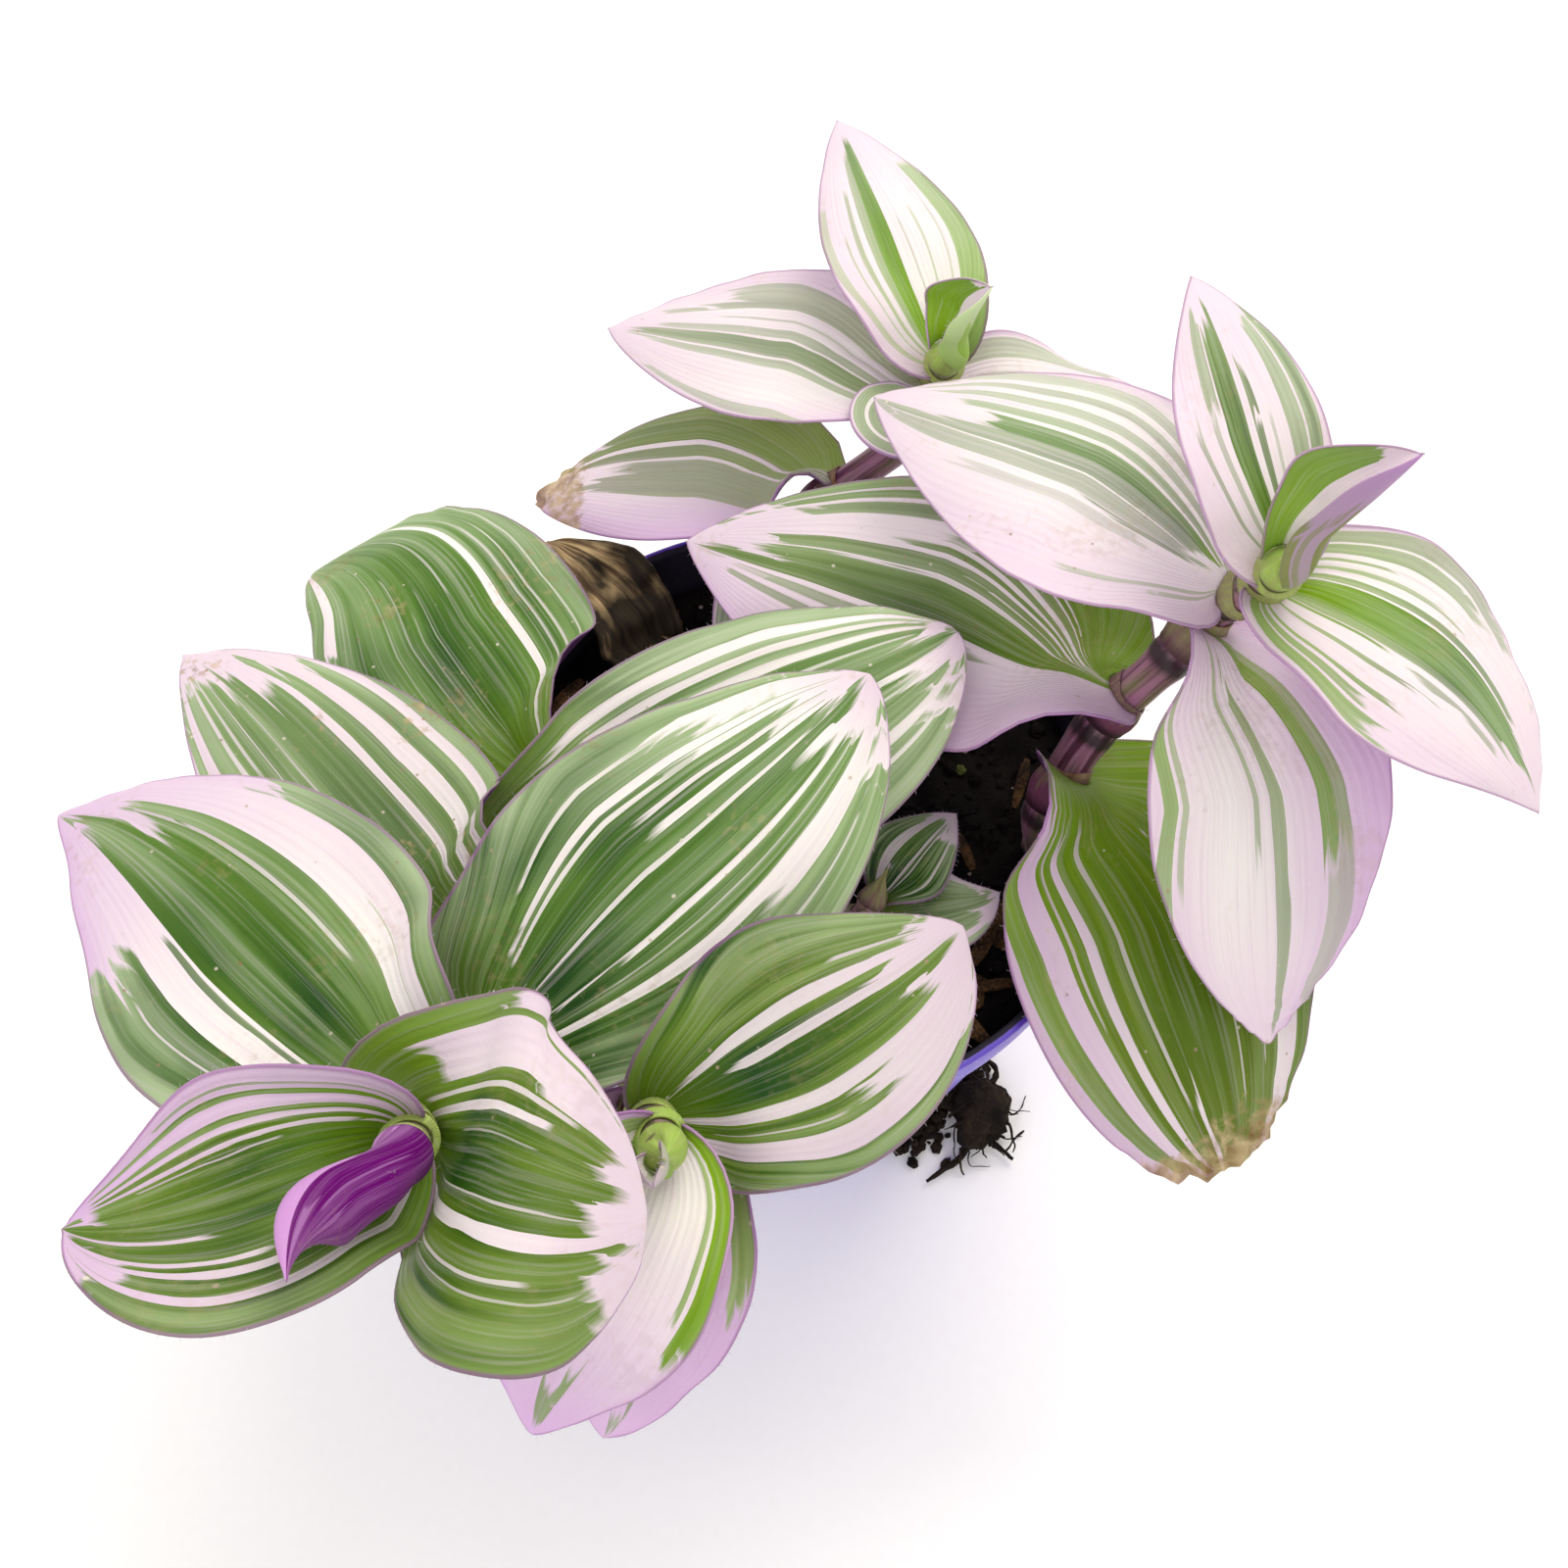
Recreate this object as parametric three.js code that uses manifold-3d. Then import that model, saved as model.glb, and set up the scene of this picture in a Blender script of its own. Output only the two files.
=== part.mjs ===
// A potted tradescantia: a thin plastic nursery pot of potting soil, and five leafy shoots that
// rise from it and lean out over the rim. Each leaf closes round its stem in a short sheath and
// opens into a broad pointed blade; the blades alternate along the stem.
//
// Millimetres and degrees. +Z is up, +X to the right and +Y away from the viewer. The origin is
// the middle of the pot's flat underside.

import * as THREE from 'three';
import { mergeVertices } from 'three/addons/utils/BufferGeometryUtils.js';
import Module from 'manifold-3d';

const wasm = await Module();
wasm.setup();

// Pot
const potHeight = 95;
const potRimRadius = 52.5;
const potBaseRadius = 36;
const potWall = 1.2;
const potBandHeight = 9;
const potBandStep = 1.4;
const potSegments = 36;
const drainCount = 5;
const drainHole = { radius: 4.2, reach: 34.5, height: 2.5, length: 16, tilt: 55, firstAngle: -37 };

// Soil
const soilLevel = 86;
const soilBump = 1.1;
const soilSegments = 28;
const soilRings = [44, 36, 27, 18, 9];
const chipCount = 6;
const chipSize = { length: [6, 11], width: [2.2, 4], height: 2.4 };
const chipRing = [8, 43];

// Stems and leaves
const gap = 0.3;
const stemSides = 8;
const stemStepsPerInternode = 2;
const nodeSwelling = 0.5;
const nodeSwellingReach = 0.16;
const sheathWall = 0.9;
const footSink = 1.2;
const sheathStart = 0.12;
const sheathShare = 0.55;
const budEnd = 0.25;
const budShoulder = 0.6;
const longestSheath = 7;
const bladeThickness = 0.8;
const bladeRows = 7;
const bladeColumns = 6;
const leanOut = { start: 0.12, end: 0.64, pull: 1.5 };
const cupFade = 2.5;
const rippleWaves = 1.6;
const ripplePhase = [3.4, 1.1];
const settleReach = 0.35;
const wrapReach = 0.2;
const widestWrap = 150;
const lobeReach = 0.4;

// A shoot: the points that its stem passes, the stem's radius at foot and top, and its leaves.
// A leaf names the stem point that it grows from and the place of its tip.
//   width    greatest width, laid flat
//   rise     how far the midrib keeps to the stem's direction before it leans out
//   arch     how far the midrib stands above the straight line to the tip, near the tip
//   side     how far the midrib swings to the right of that line
//   roll     lift of the right-hand margin
//   turn     180 for a young leaf that shows its underside
//   cup      slope of the margins near the foot and at the tip, positive where they rise
//   broad    place of the greatest width along the leaf
//   waist    width at the foot as a share of the greatest
//   point    how drawn-out the tip is
//   lobe     how far the left and right margins sweep back past the foot
//   skew     how far the right-hand half stands ahead of the left, as a share of its width
const usualLeaf = {
  rise: 8,
  arch: 6,
  side: 0,
  turn: 0,
  roll: 0,
  cup: [80, -12],
  broad: 0.42,
  waist: 0.42,
  point: 0.85,
  ripple: 0.7,
  lobe: [0, 0],
  skew: 0,
};

const shoots = {
  right: {
    radius: [3.6, 2.3],
    path: [
      [38, -9, 68], [41, -5, 86], [40, -4.5, 97], [46.5, 3.5, 109], [56, 7.5, 124],
      [62, 10.5, 134], [64.5, 8.5, 140], [65.5, 6.5, 146], [65, 4.5, 150], [64.5, 3, 155],
    ],
    leaves: [
      {
        at: 2, tip: [66.5, -57, 77], width: 47, rise: 9, arch: 12, side: 3, roll: -4,
        broad: 0.5, waist: 0.45, point: 0.55,
      },
      { at: 3, tip: [-17, 39.5, 108], width: 43, rise: 2, arch: 7, side: -3, roll: 20, cup: [80, -5] },
      { at: 4, tip: [70.5, -42, 96], width: 37, rise: 8, arch: 10, side: 0, roll: 6, broad: 0.54 },
      {
        at: 5, tip: [13, 50, 131], width: 36, rise: 4, arch: 6, side: -1, roll: 12,
        waist: 0.36, lobe: [-2, 2],
      },
      { at: 6, tip: [102.5, -20.5, 128], width: 34, rise: 5, arch: 6, side: -4.5, roll: 4 },
      { at: 7, tip: [55, 45, 162], width: 21, rise: 6, arch: 4, side: 1, waist: 0.6 },
      {
        at: 8, tip: [79, 9.5, 168], width: 20, rise: 6, arch: 2, roll: 25, waist: 0.7,
        cup: [150, 90],
      },
    ],
  },
  back: {
    radius: [3.2, 2.2],
    path: [
      [-2, 33, 68], [-1, 39, 86], [1, 42.5, 93], [2, 48.5, 101], [19, 58, 112],
      [23, 64, 118], [24.5, 62.5, 124], [24.5, 60.5, 128], [25, 59, 133],
    ],
    leaves: [
      { at: 2, tip: [-11.5, 18.5, 100], width: 15, rise: 3, arch: 2, waist: 0.8 },
      { at: 3, tip: [-46.5, 65, 86], width: 28, rise: 4, arch: 9, side: -5, roll: 5 },
      { at: 4, tip: [59, 70, 110], width: 26, rise: 3, arch: 6, side: 6, waist: 0.6, lobe: [4, 4] },
      { at: 5, tip: [-31, 78, 116], width: 30, rise: 4, arch: 4, side: -3, roll: 10 },
      { at: 6, tip: [7.5, 100.5, 140], width: 25, rise: 5, arch: 3, waist: 0.5 },
      { at: 7, tip: [30.5, 62.5, 142], width: 17, rise: 4, arch: 1, waist: 0.7, cup: [150, 80] },
    ],
  },
  front: {
    radius: [3.4, 2.2],
    path: [
      [-12, 6, 68], [-22, 3, 86], [-31.5, -2, 98], [-42.5, -4.5, 104], [-42, -14.5, 110],
      [-42.5, -27, 118], [-38, -50.5, 130], [-43, -63, 142], [-42.5, -71, 152],
      [-41.5, -75, 158], [-41, -77.5, 162], [-40.5, -80.5, 167],
    ],
    leaves: [
      {
        at: 2, tip: [-85, 50, 84], width: 46, rise: 5, arch: 13, side: 11, roll: 6,
        waist: 0.5, point: 0.5, lobe: [0, 6],
      },
      {
        at: 4, tip: [24.5, 12, 123], width: 41, rise: 4, arch: 5, side: 4, roll: -6,
        broad: 0.58, point: 0.6,
      },
      { at: 5, tip: [-94.5, 15, 112], width: 37, rise: 5, arch: 6, side: 3, roll: -4 },
      {
        at: 6, tip: [10.5, -4, 137], width: 41, rise: 4, arch: 3, side: 4, roll: -14,
        broad: 0.5, point: 0.65,
      },
      { at: 7, tip: [-99.5, -22.5, 130], width: 41, rise: 5, arch: 7, side: 6, roll: 4 },
      {
        at: 8, tip: [-15.5, -84, 162], width: 38, rise: 6, arch: 12, side: 4.5, broad: 0.54,
        waist: 0.4, point: 0.42, lobe: [6, -1], skew: 0.3, cup: [60, -10],
      },
      {
        at: 9, tip: [-73.5, -87, 166], width: 29, rise: 5, arch: 3, side: -5, broad: 0.48,
        waist: 0.5, point: 0.7, cup: [80, 30],
      },
      {
        at: 10, tip: [-47.7, -94, 176], width: 15, rise: 6, arch: 2, side: 5, turn: 180,
        broad: 0.55, waist: 0.7, point: 1.2, cup: [165, 110],
      },
    ],
  },
  middle: {
    radius: [3, 2.2],
    path: [
      [0, -18, 68], [-3.5, -26, 86], [-13, -44, 106], [-20, -59.5, 123], [-18, -65, 133],
      [-16.5, -68.5, 139], [-15.3, -72, 144], [-14.8, -74.5, 149],
    ],
    leaves: [
      { at: 3, tip: [-24, -99, 108], width: 30, rise: 5, arch: 8, side: -3, waist: 0.55 },
      {
        at: 4, tip: [21, -42.5, 139], width: 32, rise: 5, arch: 6, side: 4.5, roll: -8,
        broad: 0.5, point: 0.7, cup: [60, -12],
      },
      { at: 5, tip: [-30.5, -101, 127], width: 28, rise: 6, arch: 10, waist: 0.55 },
      { at: 6, tip: [-15.5, -79, 153], width: 9, rise: 3, arch: 0, cup: [150, 120] },
    ],
  },
  small: {
    radius: [2.2, 1.6],
    path: [[6, -19, 70], [7, -22.5, 86], [9.5, -22, 92], [12, -20, 96], [13.5, -18, 99]],
    leaves: [
      { at: 2, tip: [32, -18.5, 97], width: 17, rise: 2, arch: 3, side: 3 },
      { at: 3, tip: [25.5, -7, 101], width: 14, rise: 2, arch: 3 },
    ],
  },
};

// The old leaf that has dried up, with its foot sunk in the soil and its tip over the rim
const dryLeaf = {
  foot: [-23, 30, 83],
  tip: [-42, 47, 98],
  footRadius: 6,
  width: 18,
  cup: [40, 35],
  arch: 7,
  ripple: 2.2,
};

// Roots that have grown out of a drain hole and lie on the surface
const rootClump = { at: [38, -24.5, 4.2], size: [5.5, 6.5, 3.8] };
const rootRadius = 0.9;
const rootSteps = 7;
const rootSides = 5;
const rootRoutes = [
  [[26.5, -20, 6], [31, -23, 4.2], [38, -26, 3], [41, -30, 1.8], [44.5, -33, 1.4]],
  [[36, -22, 5], [41, -19, 3.2], [44, -21, 2], [43, -25, 1.5]],
  [[37, -26, 3.5], [34, -32, 2.2], [30, -36, 1.6], [27, -37.5, 1.3]],
  [[38, -22, 4], [41.5, -15.5, 2.4], [39.5, -11.5, 1.6]],
];

const colours = {
  pot: 0x7f68cf,
  soil: 0x1d1712,
  stem: 0x7b4a68,
  leaf: 0x7f9a6c,
  youngLeaf: 0x8fbf3f,
  dryLeaf: 0x8a6f55,
  root: 0x3a2b1e,
};

const up = new THREE.Vector3(0, 0, 1);
const radians = THREE.MathUtils.degToRad;
const mix = THREE.MathUtils.lerp;
const vector = (point) => new THREE.Vector3(...point);

// The same draws each time
function seededRandom(seed) {
  let state = seed;
  return () => {
    state = (state * 48271) % 2147483647;
    return state / 2147483647;
  };
}

function geometryFrom(vertices, triangles) {
  const geometry = new THREE.BufferGeometry();
  geometry.setAttribute('position', new THREE.Float32BufferAttribute(vertices, 3));
  geometry.setIndex(triangles);
  return geometry;
}

function solidFrom(source) {
  const bare = new THREE.BufferGeometry();
  bare.setAttribute('position', source.getAttribute('position').clone());
  if (source.index) {
    bare.setIndex(source.index.clone());
  }
  const geometry = mergeVertices(bare, 1e-4);
  const corners = geometry.index.array;
  const triangles = [];
  for (let k = 0; k < corners.length; k += 3) {
    const [a, b, c] = [corners[k], corners[k + 1], corners[k + 2]];
    if (a !== b && b !== c && c !== a) {
      triangles.push(a, b, c);
    }
  }
  return new wasm.Manifold(new wasm.Mesh({
    numProp: 3,
    vertProperties: new Float32Array(geometry.getAttribute('position').array),
    triVerts: new Uint32Array(triangles),
  }));
}

// The largest piece of a solid, without the scraps that a cut can leave
function mainBody(solid) {
  return solid.decompose().reduce((best, body) => (body.volume() > best.volume() ? body : best));
}

function geometryOf(solid) {
  const { vertProperties, triVerts } = solid.getMesh();
  const geometry = geometryFrom(Array.from(vertProperties), Array.from(triVerts));
  geometry.computeVertexNormals();
  return geometry;
}

function namedMesh(name, solid, colour, roughness) {
  const material = new THREE.MeshStandardMaterial({ color: colour, roughness, metalness: 0 });
  const mesh = new THREE.Mesh(geometryOf(solid), material);
  mesh.name = name;
  return mesh;
}

// Evenly spaced places along a curve
function stations(from, to, steps) {
  return Array.from({ length: steps + 1 }, (_, index) => mix(from, to, index / steps));
}

// A closed round bar from ring to ring; a ring has a centre, a direction and a radius
function barThrough(rings, sides) {
  const steps = rings.length - 1;
  const vertices = [];
  const triangles = [];
  for (const { centre, along, radius } of rings) {
    const across = new THREE.Vector3(1, 0, 0).addScaledVector(along, -along.x).normalize();
    const third = along.clone().cross(across);
    for (let k = 0; k < sides; k += 1) {
      const angle = (2 * Math.PI * k) / sides;
      const corner = centre.clone()
        .addScaledVector(across, radius * Math.cos(angle))
        .addScaledVector(third, radius * Math.sin(angle));
      vertices.push(corner.x, corner.y, corner.z);
    }
  }
  for (let i = 0; i < steps; i += 1) {
    for (let k = 0; k < sides; k += 1) {
      const a = i * sides + k;
      const b = i * sides + ((k + 1) % sides);
      triangles.push(a, b, b + sides, a, b + sides, a + sides);
    }
  }
  for (let k = 1; k < sides - 1; k += 1) {
    const last = steps * sides;
    triangles.push(0, k + 1, k, last, last + k, last + k + 1);
  }
  return solidFrom(geometryFrom(vertices, triangles));
}

// Leaf blade ------------------------------------------------------------------------------------

// Half-width along the blade as a share of its greatest
function outlineAt(leaf, u) {
  if (u < leaf.broad) {
    return leaf.waist + (1 - leaf.waist) * Math.sin((Math.PI / 2) * (u / leaf.broad));
  }
  return Math.cos((Math.PI / 2) * ((u - leaf.broad) / (1 - leaf.broad))) ** leaf.point;
}

// The midrib, the directions of the straight line from foot to tip, and the hold on the stem:
// a leaf starts as part of a ring round the stem, which has its own direction, side and radius
function layOut(leaf, foot, hold) {
  const tip = vector(leaf.tip);
  const chord = tip.clone().sub(foot);
  const right = chord.clone().cross(up).normalize();
  const above = right.clone().cross(chord).normalize();
  const lower = foot.clone()
    .addScaledVector(hold.along, leaf.rise)
    .addScaledVector(chord, leanOut.start);
  const upper = foot.clone()
    .addScaledVector(chord, leanOut.end)
    .addScaledVector(above, leaf.arch * leanOut.pull)
    .addScaledVector(right, leaf.side * leanOut.pull);
  return {
    midrib: new THREE.CubicBezierCurve3(foot, lower, upper, tip),
    right,
    above,
    ahead: chord.normalize(),
    footAlong: hold.along,
    footAcross: hold.lean.clone().cross(hold.along).normalize(),
    wrap: Math.min((leaf.width * leaf.waist) / 2 / hold.radius, radians(widestWrap)),
  };
}

function bladePoint(leaf, layout, u, v) {
  const settle = THREE.MathUtils.smoothstep(u, 0, settleReach);
  const roll = radians(leaf.turn + leaf.roll);
  const along = layout.footAlong.clone().lerp(layout.midrib.getTangent(u), settle).normalize();
  const across = layout.right.clone().multiplyScalar(Math.cos(roll))
    .addScaledVector(layout.above, Math.sin(roll))
    .lerp(layout.footAcross, 1 - settle);
  across.addScaledVector(along, -across.dot(along)).normalize();
  const normal = across.clone().cross(along);
  const halfWidth = (leaf.width / 2) * outlineAt(leaf, u);
  const cup = radians(mix(leaf.cup[1], leaf.cup[0], (1 - u) ** cupFade));
  const slope = mix(layout.wrap, cup, THREE.MathUtils.smoothstep(u, 0, wrapReach)) || 1e-4;
  const out = (halfWidth * Math.sin(v * slope)) / slope;
  const lift = (halfWidth * (1 - Math.cos(v * slope))) / slope;
  const half = v > 0 ? 1 : 0;
  const wave = Math.sin(2 * Math.PI * rippleWaves * u + ripplePhase[half]);
  const ripple = leaf.ripple * wave * v * v * outlineAt(leaf, u) * settle;
  const lobe = leaf.lobe[half] * Math.sin((Math.PI / 2) * v) ** 2;
  const sweep = lobe * Math.max(0, 1 - u / lobeReach) ** 2;
  return layout.midrib.getPoint(u)
    .addScaledVector(across, out)
    .addScaledVector(normal, lift + ripple)
    .addScaledVector(layout.ahead, leaf.skew * halfWidth * v - sweep);
}

// A closed blade with the same triangles on its upper and lower faces
function bladeSolid(leaf, layout, thickness) {
  const rowLength = bladeColumns + 1;
  const faceLength = bladeRows * rowLength + 1;
  const tipIndex = faceLength - 1;
  const step = 1e-3;
  const vertices = [];
  for (const half of [thickness / 2, -thickness / 2]) {
    for (let index = 0; index < faceLength; index += 1) {
      const isTip = index === tipIndex;
      const u = isTip ? 1 : Math.floor(index / rowLength) / bladeRows;
      const v = isTip ? 0 : ((index % rowLength) / bladeColumns) * 2 - 1;
      const nearU = isTip ? 1 - step : u;
      const acrossBlade = bladePoint(leaf, layout, nearU, v + step)
        .sub(bladePoint(leaf, layout, nearU, v - step));
      const alongBlade = bladePoint(leaf, layout, nearU + step, v * 0.98)
        .sub(bladePoint(leaf, layout, nearU, v * 0.98));
      const point = bladePoint(leaf, layout, u, v)
        .addScaledVector(acrossBlade.cross(alongBlade).normalize(), half);
      vertices.push(point.x, point.y, point.z);
    }
  }
  const triangles = [];
  const bothFaces = (a, b, c) => {
    triangles.push(a, b, c, a + faceLength, c + faceLength, b + faceLength);
  };
  const edge = (a, b) => {
    triangles.push(a, a + faceLength, b, b, a + faceLength, b + faceLength);
  };
  for (let i = 0; i < bladeRows; i += 1) {
    for (let j = 0; j < bladeColumns; j += 1) {
      const a = i * rowLength + j;
      const isLast = i === bladeRows - 1;
      if (isLast) {
        bothFaces(a, a + 1, tipIndex);
      } else if (j < bladeColumns / 2) {
        bothFaces(a, a + 1, a + rowLength + 1);
        bothFaces(a, a + rowLength + 1, a + rowLength);
      } else {
        bothFaces(a, a + 1, a + rowLength);
        bothFaces(a + 1, a + rowLength + 1, a + rowLength);
      }
    }
    const left = i * rowLength;
    const right = left + bladeColumns;
    const isLast = i === bladeRows - 1;
    edge(isLast ? tipIndex : left + rowLength, left);
    edge(right, isLast ? tipIndex : right + rowLength);
  }
  for (let j = 0; j < bladeColumns; j += 1) {
    edge(j, j + 1);
  }
  return solidFrom(geometryFrom(vertices, triangles));
}

// Shoots ----------------------------------------------------------------------------------------

function makeShoot(shoot) {
  const internodes = shoot.path.length - 1;
  const count = internodes * stemStepsPerInternode;
  const curve = new THREE.CatmullRomCurve3(shoot.path.map(vector), false, 'centripetal');
  const stemEnd = (internodes - 0.5) / internodes;
  const swellingAt = (t) => shoot.leaves.reduce((sum, leaf) => {
    const away = (t * internodes - leaf.at) / nodeSwellingReach;
    return sum + nodeSwelling * Math.exp(-away * away);
  }, 0);
  const rings = stations(0, 1, count).map((t) => ({
    centre: curve.getPoint(t),
    along: curve.getTangent(t),
    radius: mix(shoot.radius[0], shoot.radius[1], t) + swellingAt(t),
  }));
  // A place on the stem, which runs straight from ring to ring
  const ringAt = (t, margin) => {
    const low = Math.min(Math.floor(t * count + 1e-6), count - 1);
    const share = t * count - low;
    const [before, after] = [rings[low], rings[low + 1]];
    return {
      centre: before.centre.clone().lerp(after.centre, share),
      along: before.along.clone().lerp(after.along, share).normalize(),
      radius: mix(before.radius, after.radius, share) + margin,
    };
  };
  const bar = (from, to, margin) => {
    const between = stations(0, 1, count).filter((t) => t > from + 1e-4 && t < to - 1e-4);
    return barThrough([from, ...between, to].map((t) => ringAt(t, margin)), stemSides);
  };
  const stem = (margin) => bar(0, stemEnd + (margin * 0.25) / internodes, margin);
  return { internodes, ringAt, bar, stem };
}

// A leaf: its blade and its sheath round the stem, clear of the stem and of the next sheath.
// The youngest leaf's sheath closes over the end of the stem.
function leafSolid(shoot, leaf) {
  const { internodes, ringAt, bar, stem } = shoot;
  const isYoungest = leaf.at === internodes - 1;
  const from = (leaf.at + sheathStart) / internodes;
  const internode = ringAt(leaf.at / internodes, 0).centre
    .distanceTo(ringAt((leaf.at + 1) / internodes, 0).centre);
  const share = Math.min(sheathShare, longestSheath / internode);
  const to = (leaf.at + sheathStart + share) / internodes;
  const { centre, along, radius } = ringAt(to, gap + sheathWall / 2);
  const lean = vector(leaf.tip).sub(centre);
  lean.addScaledVector(along, -lean.dot(along)).normalize();
  if (leaf.turn > 90) {
    lean.negate();
  }
  const foot = centre.clone().addScaledVector(lean, radius).addScaledVector(along, -footSink);
  const layout = layOut(leaf, foot, { along, lean, radius });
  const blade = bladeSolid(leaf, layout, bladeThickness);
  if (isYoungest) {
    const rings = [from, mix(from, 1, budShoulder), 1].map((t) => ringAt(t, gap + sheathWall));
    rings[2].radius *= budEnd;
    return mainBody(blade.add(barThrough(rings, stemSides)).subtract(stem(gap)));
  }
  const sheath = bar(from, to, gap + sheathWall);
  const nextSheath = bar(to + 0.1 / internodes, 1, 2 * gap + sheathWall);
  return mainBody(blade.add(sheath).subtract(stem(gap)).subtract(nextSheath));
}

// Pot, soil and roots -----------------------------------------------------------------------------

function lathe(profile, segments) {
  const points = profile.map(([radius, height]) => new THREE.Vector2(radius, height));
  const geometry = new THREE.LatheGeometry(points, segments);
  geometry.rotateX(Math.PI / 2);
  return geometry;
}

const bandFoot = potHeight - potBandHeight;
const wallTopRadius = potRimRadius - potBandStep;

function potSolid() {
  const bandInside = potRimRadius - potWall;
  const pot = solidFrom(lathe([
    [0, 0],
    [potBaseRadius - 1, 0],
    [potBaseRadius, 1],
    [wallTopRadius - 0.8, bandFoot],
    [potRimRadius - 0.7, bandFoot + 0.6],
    [potRimRadius - 0.7, potHeight - 1.4],
    [potRimRadius, potHeight - 0.9],
    [potRimRadius, potHeight],
    [bandInside - 0.6, potHeight],
    [bandInside - 0.6, bandFoot + 1.6],
    [wallTopRadius - potWall - 0.8, bandFoot - 0.4],
    [potBaseRadius - potWall, potWall + 0.6],
    [0, potWall + 0.6],
  ], potSegments));
  let drained = pot;
  for (let k = 0; k < drainCount; k += 1) {
    const cutter = new THREE.CylinderGeometry(
      drainHole.radius,
      drainHole.radius,
      drainHole.length,
      8,
    );
    cutter.rotateX(Math.PI / 2);
    cutter.rotateY(radians(drainHole.tilt));
    cutter.translate(drainHole.reach, 0, drainHole.height);
    cutter.rotateZ(radians(drainHole.firstAngle + (360 / drainCount) * k));
    drained = drained.subtract(solidFrom(cutter));
  }
  return drained;
}

function soilHeight(x, y) {
  const bumps = Math.sin(x * 0.31 + y * 0.12) + Math.sin(y * 0.37 - x * 0.17 + 1.3)
    + Math.sin(x * 0.71 + 2.1) * Math.sin(y * 0.63);
  return soilLevel + (soilBump * bumps) / 2;
}

function soilSolid() {
  const inner = (height) => mix(
    potBaseRadius - potWall,
    wallTopRadius - potWall - 0.8,
    height / bandFoot,
  ) - gap;
  const foot = potWall + 0.6 + gap;
  const shoulder = soilLevel - 3;
  const geometry = lathe([
    [0, foot],
    [inner(foot) - 0.2, foot],
    [inner(shoulder) - 0.1, shoulder],
    [inner(shoulder) - 1, soilLevel - 0.6],
    ...soilRings.map((radius) => [radius, soilLevel]),
    [0, soilLevel],
  ], soilSegments);
  const position = geometry.getAttribute('position');
  for (let k = 0; k < position.count; k += 1) {
    const reach = Math.hypot(position.getX(k), position.getY(k));
    if (position.getZ(k) > shoulder && reach <= soilRings[0] + 0.1) {
      position.setZ(k, soilHeight(position.getX(k), position.getY(k)));
    }
  }
  return solidFrom(geometry);
}

function chipsInSoil() {
  const random = seededRandom(11);
  const chips = [];
  for (let k = 0; k < chipCount; k += 1) {
    const angle = 2 * Math.PI * random();
    const reach = mix(chipRing[0], chipRing[1], Math.sqrt(random()));
    const chip = new THREE.BoxGeometry(
      mix(...chipSize.length, random()),
      mix(...chipSize.width, random()),
      chipSize.height,
    );
    chip.rotateX(0.5 * random() - 0.25);
    chip.rotateY(0.4 * random() - 0.2);
    chip.rotateZ(Math.PI * random());
    const [x, y] = [reach * Math.cos(angle), reach * Math.sin(angle)];
    chip.translate(x, y, soilHeight(x, y));
    chips.push(solidFrom(chip));
  }
  return chips;
}

function rootSolid(margin) {
  const clump = new THREE.IcosahedronGeometry(1, 1);
  clump.scale(...rootClump.size.map((size) => size + margin));
  clump.translate(...rootClump.at);
  return rootRoutes.reduce((roots, route) => {
    const curve = new THREE.CatmullRomCurve3(route.map(vector));
    const rings = stations(0, 1, rootSteps).map((t) => ({
      centre: curve.getPoint(t),
      along: curve.getTangent(t),
      radius: mix(rootRadius, rootRadius * 0.5, t) + margin,
    }));
    return roots.add(barThrough(rings, rootSides));
  }, solidFrom(clump));
}

// Assembly ----------------------------------------------------------------------------------------

const plant = new THREE.Group();
const madeShoots = Object.entries(shoots).map(([name, shoot]) => [name, shoot, makeShoot(shoot)]);

const dry = { ...usualLeaf, ...dryLeaf };
const dryHold = {
  along: up,
  lean: vector(dryLeaf.tip).sub(vector(dryLeaf.foot)).setZ(0).normalize(),
  radius: dryLeaf.footRadius,
};
const dryLayout = layOut(dry, vector(dryLeaf.foot), dryHold);

let soil = chipsInSoil().reduce((whole, chip) => whole.add(chip), soilSolid());
for (const [, , made] of madeShoots) {
  soil = soil.subtract(made.stem(gap));
}
const dryHoleFoot = vector(dryLeaf.foot).addScaledVector(dryLayout.ahead, -2 * gap);
const dryHole = layOut(dry, dryHoleFoot, dryHold);
soil = soil.subtract(bladeSolid({ ...dry, width: dry.width + 2 }, dryHole, bladeThickness + 3 * gap));
soil = mainBody(soil.subtract(rootSolid(gap)));

plant.add(namedMesh('pot', potSolid(), colours.pot, 0.4));
plant.add(namedMesh('soil', soil, colours.soil, 1));
plant.add(namedMesh('roots', rootSolid(0), colours.root, 0.9));
plant.add(namedMesh('leaf_dry', bladeSolid(dry, dryLayout, bladeThickness), colours.dryLeaf, 0.9));

for (const [name, shoot, made] of madeShoots) {
  plant.add(namedMesh(`stem_${name}`, made.stem(0), colours.stem, 0.5));
  shoot.leaves.forEach((own, index) => {
    const leaf = { ...usualLeaf, ...own };
    const colour = leaf.cup[1] > 60 ? colours.youngLeaf : colours.leaf;
    plant.add(namedMesh(`leaf_${name}_${index + 1}`, leafSolid(made, leaf), colour, 0.45));
  });
}

export default plant;
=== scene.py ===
import math
from functools import partial
from itertools import combinations
from types import SimpleNamespace

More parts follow.
